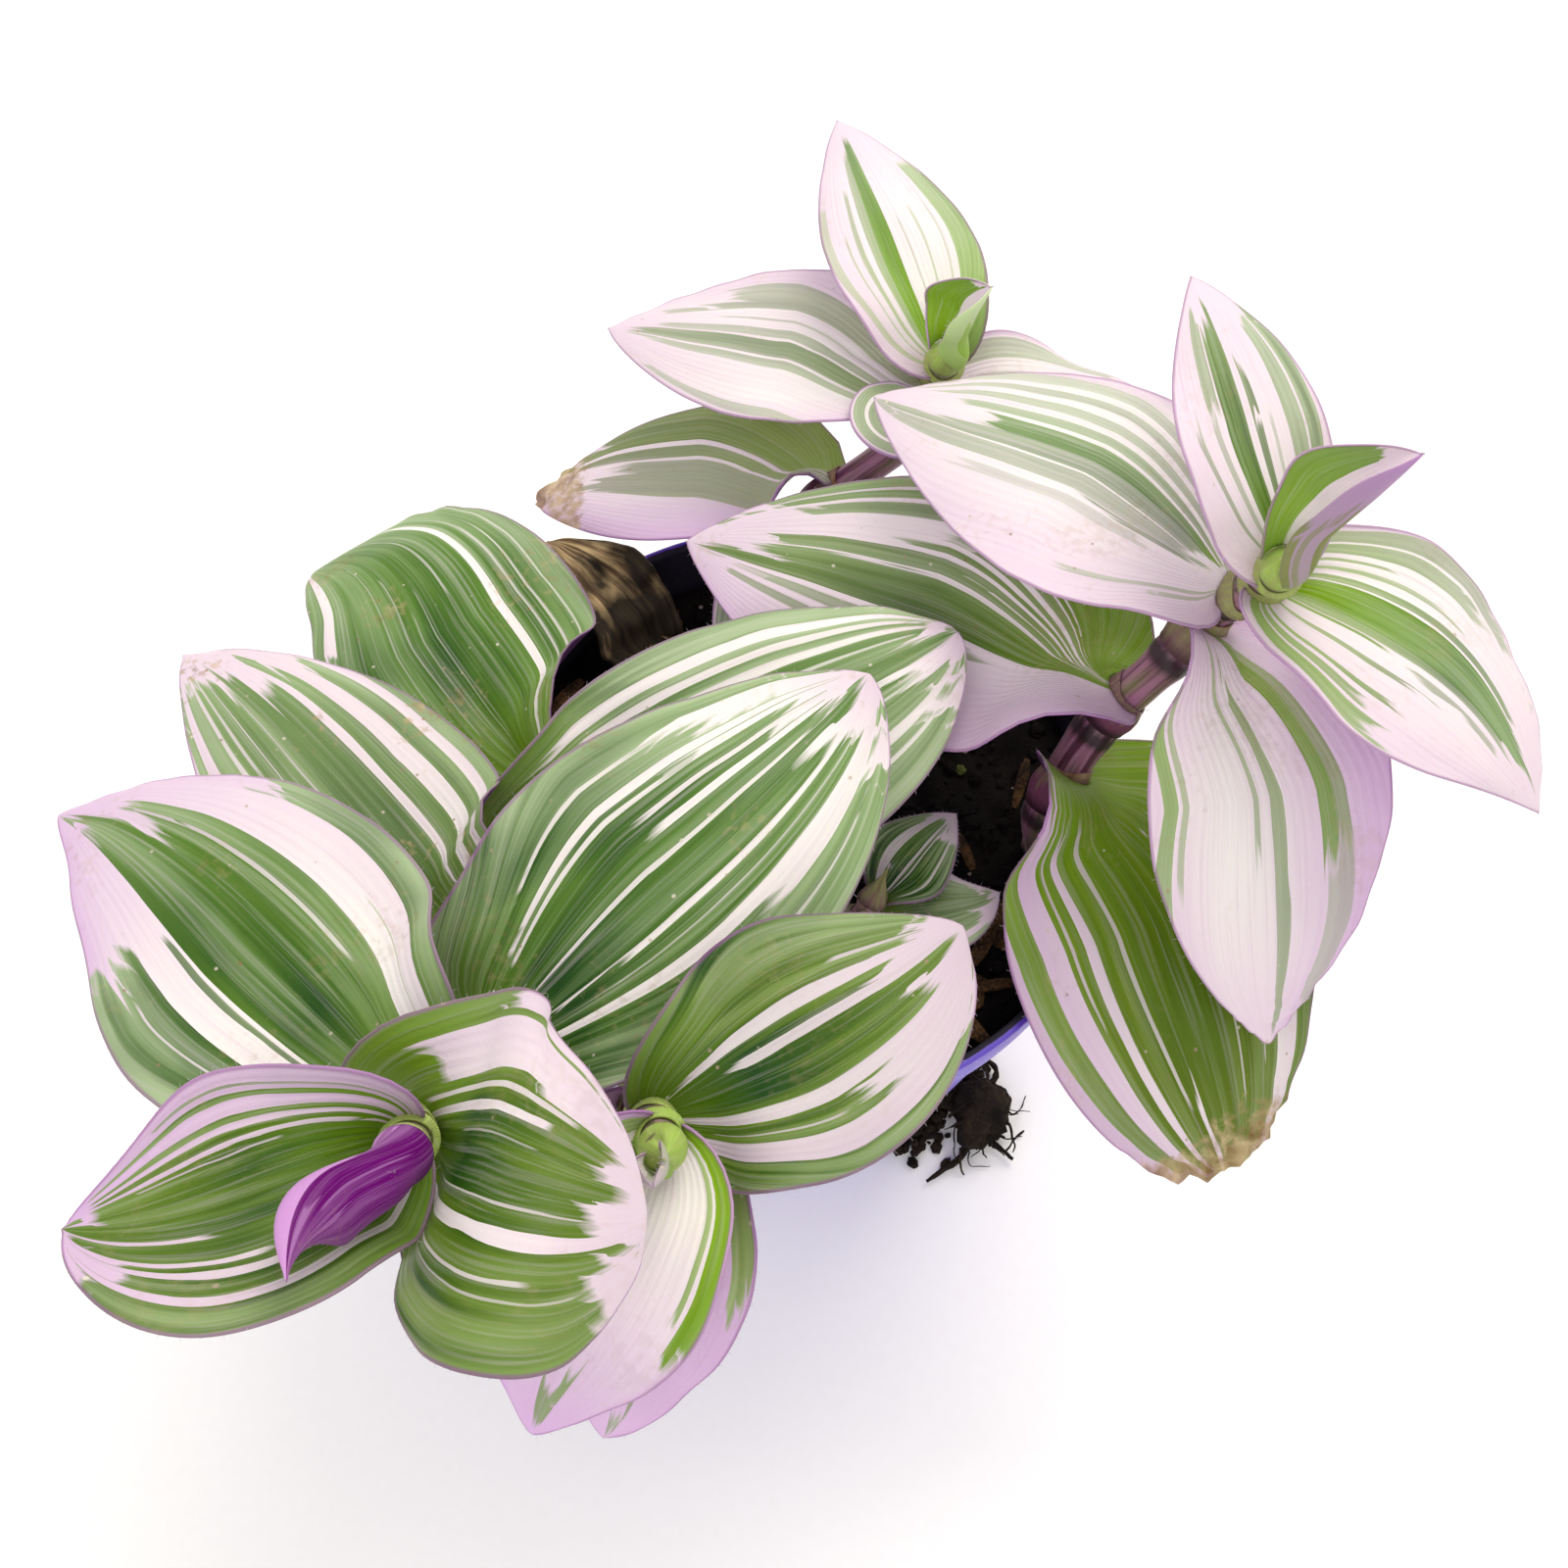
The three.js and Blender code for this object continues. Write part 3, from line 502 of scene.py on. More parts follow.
def leafSkin(name, own, seed):
    look, colour = SimpleNamespace(**{**usualLook, **own}), SimpleNamespace(**leafColours)
    add, finish = newMaterial(
        name, **{**leafSurface, "specular": leafSurface["specular"] * look.shine})
    v, u, side = add("SeparateXYZ", vectorOf(add, "place")).node.outputs
    acrossMm, alongMm, marginMm = add("SeparateXYZ", vectorOf(add, "sizes")).node.outputs

    # stripes follow the veins, which draw together towards the foot and the tip
    nearFoot = add("power", add("MapRange", u, 0.0, 0.5, 1.0, 0.0), 1.3)
    nearTip = add("power", add("MapRange", u, 0.5, 1.0, 0.0, 1.0), 1.3)
    shift = add("multiply_add", nearTip, look.tip[0], add("multiply", nearFoot, look.foot[0]))
    spread = add("multiply_add", nearFoot, look.foot[1] - 1, 1.0)
    spread = add("maximum", add("multiply_add", nearTip, look.tip[1] - 1, spread), 0.2)
    vein = add("divide", add("subtract", v, shift), spread)
    fineNoise = streaky(add, add("CombineXYZ", vein, u, seed * 1.7), (46, 2.2, 1), 3.0)
    broadNoise = streaky(add, add("CombineXYZ", vein, u, seed * 2.9), (5, 2.5, 1), 2.0)
    vein = add("add", vein, add("multiply_add", broadNoise, 0.07, -0.035))
    sideways = add("add", vein, add("multiply_add", fineNoise, 0.02, -0.01))
    rampPlace = add("MapRange", sideways, -1.0, 1.0, 0.0, 1.0)

    # they end in blunt fingers, about 2 mm wide
    cell = add("multiply_add", broadNoise, 5.0, acrossMm)
    cell = add("TexVoronoi", {"W": cell, "Scale": 0.6, "Randomness": 0.8},
               voronoi_dimensions="1D").node.outputs
    ends = add("multiply_add", cell[0], 0.5, add("SeparateColor", cell[1]))
    ends = add("multiply_add", fineNoise, 0.5, ends)
    finger = add("add", u, add("multiply_add", ends, look.fingers, -look.fingers * 0.85))
    tone = stripeTone(add, look, rampPlace, finger)

    # pale lines in the green
    hair = add("MapRange", fineNoise, 0.5, 0.66, 0.0, look.lines * 1.8)
    notWhite = add("multiply_add", tone, 2.0, -0.6, use_clamp=True)
    hair = add("multiply", add("multiply", hair, broadNoise), notWhite)
    tone = add("subtract", tone, hair, use_clamp=True)

    # greens: fresh at the foot, deeper along the middle and towards the foot, with greyer
    # and darker streaks and deeper patches about 10 mm wide. The deeper foot is partly painted
    # shade where the leaves meet the stems.
    youngShare = add("MapRange", u, look.young * 1.2, 0.0, 0.0, 1.0)
    middle = add("MapRange", add("absolute", vein), 0.0, 0.45, 1.1, 0.1)
    middle = add("multiply", middle, broadNoise)
    # painted shade in part: more deep green towards the foot
    footShadeShare = add("MapRange", u, 0.25, 0.8, 1.15, 0.35)
    streaks = streaky(add, add("CombineXYZ", vein, u, seed * 4.3), (10, 1.2, 1), 3.0)
    # darker streaks: partly the leaf's own, partly painted shade on the leaves in shade
    darkShare = add("MapRange", streaks, 0.56, 0.3, 0.0, look.dark)
    outwards = add("multiply_add", u, 0.7, add("multiply", v, v))
    outwards = add("MapRange", outwards, 0.4, 1.2, -0.12, look.grey)
    greyShare = add("add", add("MapRange", streaks, 0.42, 0.64, 0.0, look.grey), outwards,
                    use_clamp=True)
    middle = add("add", middle, darkShare, use_clamp=True)
    patches = streaky(add, add("CombineXYZ", acrossMm, alongMm, seed * 2.7), (0.1, 0.04, 1), 2.0)
    middle = add("add", middle, add("MapRange", patches, 0.45, 0.68, 0.0, look.patches),
                 use_clamp=True)
    middle = add("multiply", middle, footShadeShare, use_clamp=True)
    middle = add("multiply", middle, 1 - 0.75 * look.faded)
    deep, pale = linear(colour.deepGreen), linear(colour.paleGreen)
    basic = mixColours(linear(colour.green), linear(colour.oldGreen), look.warm)
    basic = mixColours(basic, pale, look.faded)
    green = add("blend", middle, add("blend", greyShare, basic, pale), deep)
    # footDeep deepens the fresh green at the foot, partly as painted shade
    green = add("blend", youngShare, green,
                mixColours(linear(colour.youngGreen), deep, look.footDeep))

    # white tissue: cream inside, lilac towards the margins and the tip
    blushes = [add("MapRange", v, -1.0 + 1.3 * look.blush[0], -1.0, 0.0, 1.0),
               add("MapRange", v, 1.0 - 1.3 * look.blush[1], 1.0, 0.0, 1.0),
               add("MapRange", u, 1.0 - 1.3 * look.blush[2], 1.0, 0.0, 1.0)]
    blush = add("maximum", add("maximum", *blushes[:2]), blushes[2])
    blush = add("multiply_add", broadNoise, 0.25, blush, use_clamp=True)
    # dull darkens the white: painted shade on the leaves in shade
    white = add("blend", blush, *(mixColours([0, 0, 0, 1], linear(x), 1 - look.dull)
                                  for x in (colour.cream, colour.lilac)))
    white = add("blend", add("MapRange", fineNoise, 0.5, 0.7, 0.0, 0.3), white,
                colour.faintLilac)
    for margin, share in zip(blushes, look.violet):
        if share:
            deeper = add("multiply", add("power", margin, 1.6), share)
            white = add("blend", deeper, white, colour.violet)

    # a dark line along the very margin, 0.4 mm wide
    upper = add("blend", add("MapRange", marginMm, 0.1, 0.42, 0.6, 0.0),
                add("blend", tone, white, green), colour.marginLine)

    # underside: purple, paler under the white stripes
    paleUnder = look.under[1]
    under = add("blend", add("multiply", greyShare, 0.3),
                add("blend", tone, paleUnder, look.under[0]), paleUnder)
    under = add("blend", add("multiply", youngShare, look.underFresh), under, colour.youngGreen)
    body = add("blend", add("MapRange", side, 0.2, 0.8, 0.0, 1.0), upper, under)

    # sheath: fresh green to purple brown, with veins about 1 mm apart and a near-black foot
    veins = streaky(add, add("CombineXYZ", acrossMm, alongMm, 0.0), (0.9, 0.1, 1), 2.0)
    veins = add("MapRange", veins, 0.35, 0.7, look.sheath * 0.9 - 0.1, look.sheath + 0.15)
    lowEnd = add("MapRange", u, 0.0, 0.75, 0.1 + 0.5 * look.sheath, 0.0)
    veins = add("add", veins, lowEnd, use_clamp=True)
    sheath = add("blend", streaks, colour.youngGreen if look.young >= 1 else colour.sheath,
                 colour.paleSheath)
    sheath = add("blend", veins, sheath, colour.sheathPurple)
    sheath = add("blend", add("MapRange", u, 0.05, 0.3, look.sheath, 0.0), sheath, colour.node)
    body = add("blend", add("MapRange", side, 1.2, 1.8, 0.0, 1.0), body, sheath)

    # dirt: round specks half a millimetre wide, soft stains, and a dried brown tip
    dirtAt = add("CombineXYZ", acrossMm, alongMm, seed * 3.1)
    dots = add("TexVoronoi", {"Vector": dirtAt, "Scale": 0.42}).node.outputs
    chance = add("SeparateColor", dots[1]).node.outputs
    rare = 1 - look.specks * 0.6
    speck = add("multiply", add("MapRange", dots[0], 0.07, 0.13, 0.85, 0.0),
                add("MapRange", chance[0], rare, rare + 0.02, 0.0, 1.0))
    body = add("blend", speck, body, add("blend", chance[1], colour.brown, colour.dust))
    dirt = add("TexNoise", dirtAt, None, 0.8, 4.0)
    patch = add("TexNoise", dirtAt, None, 0.07, 1.0)
    stain = add("MapRange", add("multiply", patch, dirt), 0.33, 0.42, 0.0, look.specks * 0.55)
    dry = add("multiply_add", dirt, 0.14, add("multiply_add", patch, 0.35, u))
    dry = add("MapRange", dry, 1.25 - look.scorch, 1.3 - look.scorch, 0.0,
              0.85 if look.scorch else 0.0)
    spoiled = add("maximum", stain, dry)
    mottle = add("MapRange", add("TexNoise", dirtAt, None, 0.35, 3.0), 0.3, 0.65, 0.0, 1.0)
    body = add("blend", spoiled, body, add("blend", mottle, colour.brown, colour.husk))
    rough = leafSurface["roughness"]
    satin = add("MapRange", fineNoise, 0.3, 0.7, rough - 0.06, rough + 0.1)
    satin = add("multiply_add", spoiled, 0.4, satin)

    # relief: veins that follow the blade, and the skin's cells
    ridge = add("sine", add("multiply", vein, leafRelief["veinsPerHalf"] * fullTurn))
    ridge = add("multiply_add", fineNoise, 1.6, ridge)
    high = leafRelief["veinDepth"] * look.ribs * mm
    ridge = add("multiply", ridge, add("MapRange", u, 0.55, 1.0, high, high * 0.12))
    cells = add("TexNoise", dirtAt, None, 1 / leafRelief["cellSize"], 2.0)
    return finish(body, satin, add("multiply_add", cells, leafRelief["cellDepth"] * mm, ridge))


# How each leaf is striped. A stripe is (from, to) across the blade, where -100 is its left margin
# and 100 its right, then (from, to) along it, from the foot at 0 to the tip at 100, and its tone,
# 0 white to 100 green. One with four values runs on under the foot, and one that ends above 100
# over the tip. Stripes that overlap lie in layers.
looks = dict(
    right=[
        dict(foot=(0.5, 1), tip=(-0.18, 1), young=0.65, footDeep=0.15, warm=0.9, grey=0.2, dark=0.8,
             dull=0.08, blush=(0.3, 0.8, 0.25), violet=(0, 0.4), specks=0.3, scorch=0.13,
             stripes=[(-80, -62, 40, 120, 0), (-50, -48.5, 30, 80, 45), (-30, -28.5, 30, 80, 45),
                      (5, 20, 88, 120, 0), (25, 27.5, 20, 90, 35), (43, 49.5, 20, 120, 0),
                      (56, 58, 20, 68, 30), (62, 78, 10, 120, 0), (94, 100, 10, 120, 10)]),
        dict(ground=0, foot=(-0.33, 0.1), young=0.45, footDeep=0.2, warm=0.6, faded=0.3, grey=0.35,
             blush=(0.9, 0.35, 0.5), violet=(0.3, 0), specks=0.3,
             stripes=[(-40, -32, 50, 88, 70), (-24, -15, 30, 88, 75), (-10, 26, 93, 100),
                      (28, 41, 86, 95), (45, 50, 60, 95), (53, 59, 53, 90), (66, 78, 82, 90),
                      (81, 100, 92, 100), (24, 26.5, 10, 60, 10), (33, 35, 10, 45, 10),
                      (88, 90, 20, 90, 20)]),
        dict(ground=0, foot=(0.8, 0.95), tip=(0.05, 1.9), young=0.6, warm=0.3, faded=0.5, grey=0.3,
             blush=(1.0, 0.5, 0.3), violet=(0.5, 0), specks=0.25, scorch=0.05, sheath=0.55,
             stripes=[(-64, -52, 66, 75), (-52, -39, 60, 100), (-62, -42, 58, 88, 50),
                      (-11, -2, 15, 93, 75), (9, 14, 15, 70, 65), (66, 71, 10, 70, 65),
                      (74, 87, 10, 76, 90)]),
        dict(ground=0, foot=(-0.14, 0.32), tip=(-0.5, 1.8), young=0.2, faded=0.45, lines=0.25,
             blush=(0.9, 0.12, 0.3), specks=0.3, sheath=0.5,
             stripes=[(-98, -88, 24, 50), (-80, -72, 46, 55), (-22, -13, 30, 68, 30),
                      (-11, -6, 15, 42, 80), (-5, 10, 10, 97, 60), (11, 24, 10, 94, 72),
                      (24, 37, 5, 82, 100), (40, 48, 5, 88, 80), (54, 62, 8, 90, 65),
                      (68, 75, 8, 95, 60), (80, 90, 10, 95, 55)]),
        dict(ground=0, foot=(-0.05, 0.85), tip=(0.25, 1.1), young=0.5, faded=0.15,
             blush=(0.15, 1.0, 0.5), sheath=0.3, stripes=[(-100, -87, 72, 60), (-85, -72, 63, 70),
                      (-66, -63, 36, 70), (-56, -51, 48, 70), (-44, -37, 73, 80),
                      (-35, -5, 88, 100), (-5, 4, 93, 80), (6, 11, 50, 90), (12, 20, 55, 88, 60),
                      (28, 33, 56, 75), (53, 58, 57, 80), (64, 74, 45, 80), (78, 98, 50, 85)]),
        dict(ground=0, foot=(0.25, 0.5), tip=(-0.15, 1.3), young=0.4, footDeep=0.45, warm=0.35,
             faded=0.1, blush=(1.1, 0.8, 0.8), sheath=0.2, stripes=[(-78, -70, 47, 60),
                      (-50, -42, 50, 50), (-52, -35, 48, 88, 75), (-32, -3, 86, 100),
                      (6, 15, 64, 85), (26, 32, 20, 62, 40), (50, 70, 10, 87, 80),
                      (73, 92, 10, 87, 90)]),
        dict(ground=0, young=1.0, grey=0.15, blush=(0.2, 0.5, 1.0), sheath=0.05,
             under=("#6d5a42", "#a974b6"), underFresh=0.4, ribs=0.5,
             stripes=[(-100, -45, 80, 95), (-2, 5, 40, 60, 60), (65, 72, 40, 62, 60),
                      (10, 55, 50, 95), (74, 84, 55, 60), (88, 100, 40, 90)]),
    ],
    back=[
        dict(ground=0, stripes=[(-90, -30, 90, 70), (-10, 10, 90, 90), (30, 90, 85, 80)]),
        dict(ground=0, foot=(-1.2, 1), tip=(0.4, 1), young=0.6, warm=0.9, faded=0.1, grey=0.1,
             blush=(0.9, 0.5, 0.5), violet=(0.5, 0), scorch=0.17,
             stripes=[(-38, 20, 80, 65), (24, 42, 85, 80), (50, 100, 88, 90)]),
        dict(ground=0, warm=0.2, faded=0.5, blush=(0.2, 0.2, 0.4), sheath=0.5,
             stripes=[(-92, -62, 90, 60), (-42, -25, 90, 50), (-10, 25, 95, 70), (45, 75, 90, 60)]),
        dict(ground=0, foot=(-1.1, 1), tip=(0.12, 1), young=0.5, warm=0.3, faded=0.4,
             blush=(0.3, 0.7, 0.5), sheath=0.2, stripes=[(-31, -20, 88, 60), (-16, 5, 90, 80),
                      (8, 20, 92, 55), (30, 33, 70, 40), (45, 80, 76, 60), (-97, -86, 20, 80, 55)]),
        dict(ground=0, foot=(-0.02, 0.6), fingers=0.08, young=0.75, faded=0.25,
             blush=(0.8, 0.05, 0.5), sheath=0.1, stripes=[(-100, -88, 70, 50), (-68, -65, 55, 50),
                      (-54, -48, 72, 60), (-39, -27, 88, 70), (-27, -3, 90, 100), (13, 15, 65, 35),
                      (35, 38, 65, 45), (59, 62, 65, 35), (72, 100, 80, 85)]),
        dict(ground=0, young=1.3, grey=0.15, blush=(0.2, 0.8, 0.6), sheath=0.05,
             under=("#8db83a", "#e3ead0"), underFresh=0.9, ribs=0.5,
             stripes=[(-100, -30, 90, 100), (30, 60, 60, 80)]),
    ],
    front=[
        dict(foot=(0.2, 1), tip=(0.3, 1), young=0.3, footDeep=0.3, grey=0.35, dark=0.35, lines=0.18,
             blush=(0.3, 0.1, 0.12), specks=0.6, stripes=[(-96, -82, 60, 120, 0),
                      (-40, -38.5, 30, 90, 75), (-26, -24.5, 15, 75, 70), (-16, -15, 20, 60, 75),
                      (-7, -5.5, 10, 60, 75), (16, 17.5, 50, 90, 60), (42, 48, 5, 94, 0),
                      (60, 62, 20, 80, 45), (68, 70, 20, 75, 40), (80, 82, 20, 80, 50)]),
        dict(tipEdge=0.96, footDeep=0.4, blush=(0.12, 0.1, 0.12),
             stripes=[(-82, -72, 20, 120, 0), (-66, -60, 30, 92, 10), (-52, -46, 40, 95, 10),
                      (-36, -33, 50, 90, 40), (5, 9, 40, 97, 20), (20, 22.5, 30, 95, 40),
                      (48, 58, 50, 120, 10), (66, 70, 30, 93, 25)]),
        dict(tip=(0.04, 1.3), tipEdge=0.85, young=0.3, footDeep=0.5, warm=0.15, faded=0.35,
             grey=0.45, dark=0.35, dull=0.05, blush=(0.7, 0.2, 0.6), specks=1.0,
             stripes=[(-100, -88, 20, 120, 0), (-80, -70, 20, 120, 0), (-56, -52, 50, 100, 20),
                      (-45, -42, 50, 90, 35), (-32, -30, 40, 90, 40), (-16, -14.5, 30, 85, 50),
                      (28, 35, 10, 120, 0), (36, 48, 80, 120, 0), (49, 64, 10, 120, 0),
                      (65, 78, 80, 120, 0), (79, 89, 10, 120, 0)]),
        dict(foot=(0.19, 0.36), tipEdge=0.94, young=0.2, footDeep=0.6, grey=0.5, dull=0.07,
             blush=(0.15, 0.05, 0.12), specks=0.4, sheath=0.4,
             stripes=[(-86, -63, 72, 120, 0), (-79, -76.5, 30, 74, 20), (-62, -56.5, 15, 120, 0),
                      (-56, -50, 65, 120, 0), (-53.5, -50.5, 12, 68, 10), (-50, -41, 76, 120, 0),
                      (-40, -36.5, 44, 120, 10), (-36, -30, 73, 120, 0), (-29, -24.5, 46, 120, 0),
                      (-13, -9.5, 16, 86, 10), (19, 23.5, 25, 120, 5), (33, 34.5, 30, 90, 50),
                      (44, 53, 15, 120, 0), (53, 64, 62, 120, 5), (74, 76, 50, 85, 40)]),
        dict(foot=(0.12, 0.73), tipEdge=0.93, young=0.25, footDeep=0.5, warm=0.15, grey=0.6,
             dull=0.05, blush=(0.35, 0.35, 0.5), violet=(0.4, 0, 0.4), specks=0.35, sheath=0.05,
             stripes=[(-100, -60, 63, 120, 0), (-75.5, -73.5, 20, 62, 30), (-60, -34, 5, 120, 0),
                      (-40, -36.5, 5, 52, 85), (10, 32, 82, 120, 10), (33, 36.5, 35, 80, 35),
                      (37, 48, 89, 120, 0), (49, 83, 120, 0), (65.5, 67, 15, 42, 50),
                      (83, 100, 66, 120, 0)]),
        dict(foot=(0.14, 1), tipEdge=0.93, fingers=0.1, young=0.3, footDeep=0.35, warm=0.6,
             grey=0.15, dark=1.0, dull=0.1, blush=(0.8, 0.7, 0.5), sheath=0,
             stripes=[(-100, -90, 42, 120, 0), (-87, -56, 12, 120, 0), (-56, -50, 68, 120, 0),
                      (-49, -45, 5, 82, 20), (-37, -31.5, 74, 5), (-20, -18.5, 30, 70, 60),
                      (15, 17, 20, 92, 35), (27, 36.5, 120, 0), (38, 50, 90, 120, 0),
                      (53, 55, 10, 74, 30), (56, 75, 94, 120, 0), (62, 64, 30, 90, 50)]),
        dict(foot=(-0.05, 1), tipEdge=1, fingers=0.12, young=0.4, footDeep=0.5, warm=0.55,
             grey=0.25, dark=0.85, dull=0.12, blush=(0.6, 0.9, 0.6), violet=(0, 0.4, 0.4), sheath=0,
             stripes=[(-100, -72, 84, 120, 0), (-71, -63, 120, 0), (-62, -48, 77, 120, 0),
                      (-48, -42, 10, 120, 5), (-41, -37, 79, 120, 0), (-37, -33, 45, 120, 5),
                      (-32, -16, 92, 120, 0), (-15, -11, 62, 120, 10), (40, 42, 30, 80, 40),
                      (46, 50, 5, 120, 10), (56, 61, 120, 5), (67, 77, 120, 0), (82, 100, 120, 10),
                      (86, 89, 80, 80)]),
        dict(ground=0, tip=(0.3, 1), fingers=0.3, sheath=0, under=("#5e0062", "#c48fc8"), ribs=0.4,
             shine=0.2, stripes=[(-75, -50, 15, 60), (-50, -25, 45, 80), (-25, 100, 120, 100),
                      (-12, 0, 60, 120, 65), (10, 14, 35, 80, 75), (30, 38, 70, 120, 70)]),
    ],
    middle=[
        dict(ground=0, young=0.9, blush=(1.1, 1.1, 1.1), violet=(0.3, 0.3, 0.5), sheath=0.2,
             stripes=[(-100, -80, 60, 90), (-30, 5, 80, 93, 70), (30, 60, 60, 80)]),
        dict(foot=(-0.05, 0.63), tipEdge=0.9, young=0.28, footDeep=0.5, warm=0.55, grey=0.25,
             dark=1.0, dull=0.2, blush=(0.7, 0.7, 0.6), sheath=0,
             stripes=[(-100, -70, 90, 120, 0), (-69, -53, 80, 120, 0), (-52, -48, 56, 120, 20),
                      (-47, -39, 78, 120, 0), (-38, -28, 5, 120, 0), (-28, -15, 74, 120, 0),
                      (-15, -7, 28, 120, 5), (33, 45, 120, 0), (45, 66, 62, 120, 0),
                      (56.5, 58.5, 5, 60, 30), (66, 86, 120, 0)]),
        dict(ground=0, young=1.0, grey=0.2, blush=(0.15, 0.3, 0.6), violet=(0.2, 0.7, 0.7),
             sheath=0, stripes=[(-100, -83, 60, 100), (-79, -74, 50, 80), (-32, 5, 72, 90, 80),
                      (20, 50, 80, 80), (65, 90, 70, 80)]),
        dict(ground=0, young=1.2, blush=(0.1, 0.1, 0.4), sheath=0, under=("#a9c865", "#c9a6cf"),
             underFresh=0.9, ribs=0.4, stripes=[(-60, 20, 60, 40)]),
    ],
    small=[
        dict(tipEdge=0.9, warm=0.2, faded=0.4, grey=0.7, blush=(0.9, 0.9, 0.6), sheath=0.6,
             stripes=[(-100, -75, 0, 120, 20), (62, 80, 0, 120, 0)]),
        dict(tipEdge=0.85, young=0.1, footDeep=0.6, dark=1.0, dull=0.25, blush=(0.2, 0.2, 0.3),
             sheath=0.5, stripes=[(-57, -35, 120, 0), (1, 10, 120, 10), (16, 20, 90, 30),
                      (60, 66, 20, 120, 20)]),
    ],
)


def midBlade(leaf, lay, u, v, seed):
    # the blade's middle surface with its finer relief, all in millimetres
    points = bladePoints(leaf, lay, u, v)
    normal = unit(np.cross(np.gradient(points, axis=1), np.gradient(points, axis=0)))
    groove = growth["midribDepth"] * np.exp(-(v / growth["midribWidth"]) ** 2)
    groove = groove * (1 - smooth(u, 0.45, 0.95)) * smooth(u, 0.02, 0.2)
    pucker = growth["pucker"] * wobble(points, 17, seed) * smooth(u, 0.05, 0.3)
    frill = growth["frill"] * wobble(points, 9, seed + 50) * v ** 4 * smooth(u, 0.1, 0.4)
    lift = (pucker + frill - groove) * min(1, leaf["width"] / 32)
    dried = wobble(points, 6, seed + 9) + 0.7 * wobble(points, 2.6, seed + 11)
    lift = lift + leaf["crumple"] * dried * smooth(u, 0.8, 0.97)
    return points + normal * lift[..., None], normal


def bladeFaces(rows, across, rimmed):
    # Corners run over the upper grid, the one below it, the left and right rims and the tip.
    # Faces wrap round the blade's section, close its foot and meet at the tip.
    index = np.arange(rows * across).reshape(rows, across)
    under, tip = index + index.size, 2 * index.size
    loops = [index, under[:, ::-1]]
    faces = gridFaces(np.stack([under[0], index[0]]))
    if rimmed:
        left, right = tip + np.arange(2 * rows).reshape(2, rows, 1)
        tip += 2 * rows
        loops = [index, right, under[:, ::-1], left]
        faces += [(index[0, 0], left[0, 0], under[0, 0]),
                  (index[0, -1], under[0, -1], right[0, 0])]
    loops = np.hstack([*loops, index[:, :1]])
    return (faces + gridFaces(loops)
            + [(a, b, tip) for a, b in zip(loops[-1], loops[-1, 1:])])


def makeSheath(leaf, stem, across, start, end, seed, youngest):
    # a tube round the stem whose mouth is higher on the blade's side, or the shoot's bud: a
    # folded, twisted point
    sides, levels = (36, 18) if youngest else (30, 12)
    walls = [(s, 1) for s in np.linspace(0, 1, levels)]
    if not youngest:
        walls += growth["lip"]
    points, place, sizes = [], [], []
    for s, wall in walls:
        centre, ahead, radius = stem["at"](mix(start, 1 if youngest else end, s), 0)
        grown = growth["sheathGap"] + growth["sheathWall"] * smooth(s, -0.1, 0.4)
        radius += grown * (1 - 0.6 * smooth(s, 0.5, 1)) * wall
        if youngest:
            radius *= 1 - 0.94 * smooth(s, 0.05, 1.05) ** 0.8
            centre = centre + ahead * growth["budReach"] * s ** 2
        third = unit(across - ahead * np.dot(across, ahead))
        lean = np.cross(ahead, third)
        for a in turns(sides):
            slant, fold = (1.1 * math.cos(a) + 0.25 * math.sin(3 * a + seed)) * s ** 2, 1.0
            if youngest:
                seam = (a - 1.2 - growth["budTwist"] * s + math.pi) % fullTurn - math.pi
                fold += (0.14 * math.cos(2 * a - 2 * s) - 0.3 * math.exp(-(seam / 0.3) ** 2)
                         + 0.16 * math.exp(-((seam - 0.55) / 0.3) ** 2)) * smooth(s, 0.1, 0.6)
                slant = 0
            offset = (lean * math.cos(a) + third * math.sin(a)) * radius * fold
            points.append(centre + offset + ahead * slant)
            place.append((math.sin(a), s, 2))
            sizes.append((a * 3.5, s * 7, 3))
    mouth = np.array(points[(levels - 1) * sides:levels * sides])
    return points, place, sizes, (len(walls), sides), mouth


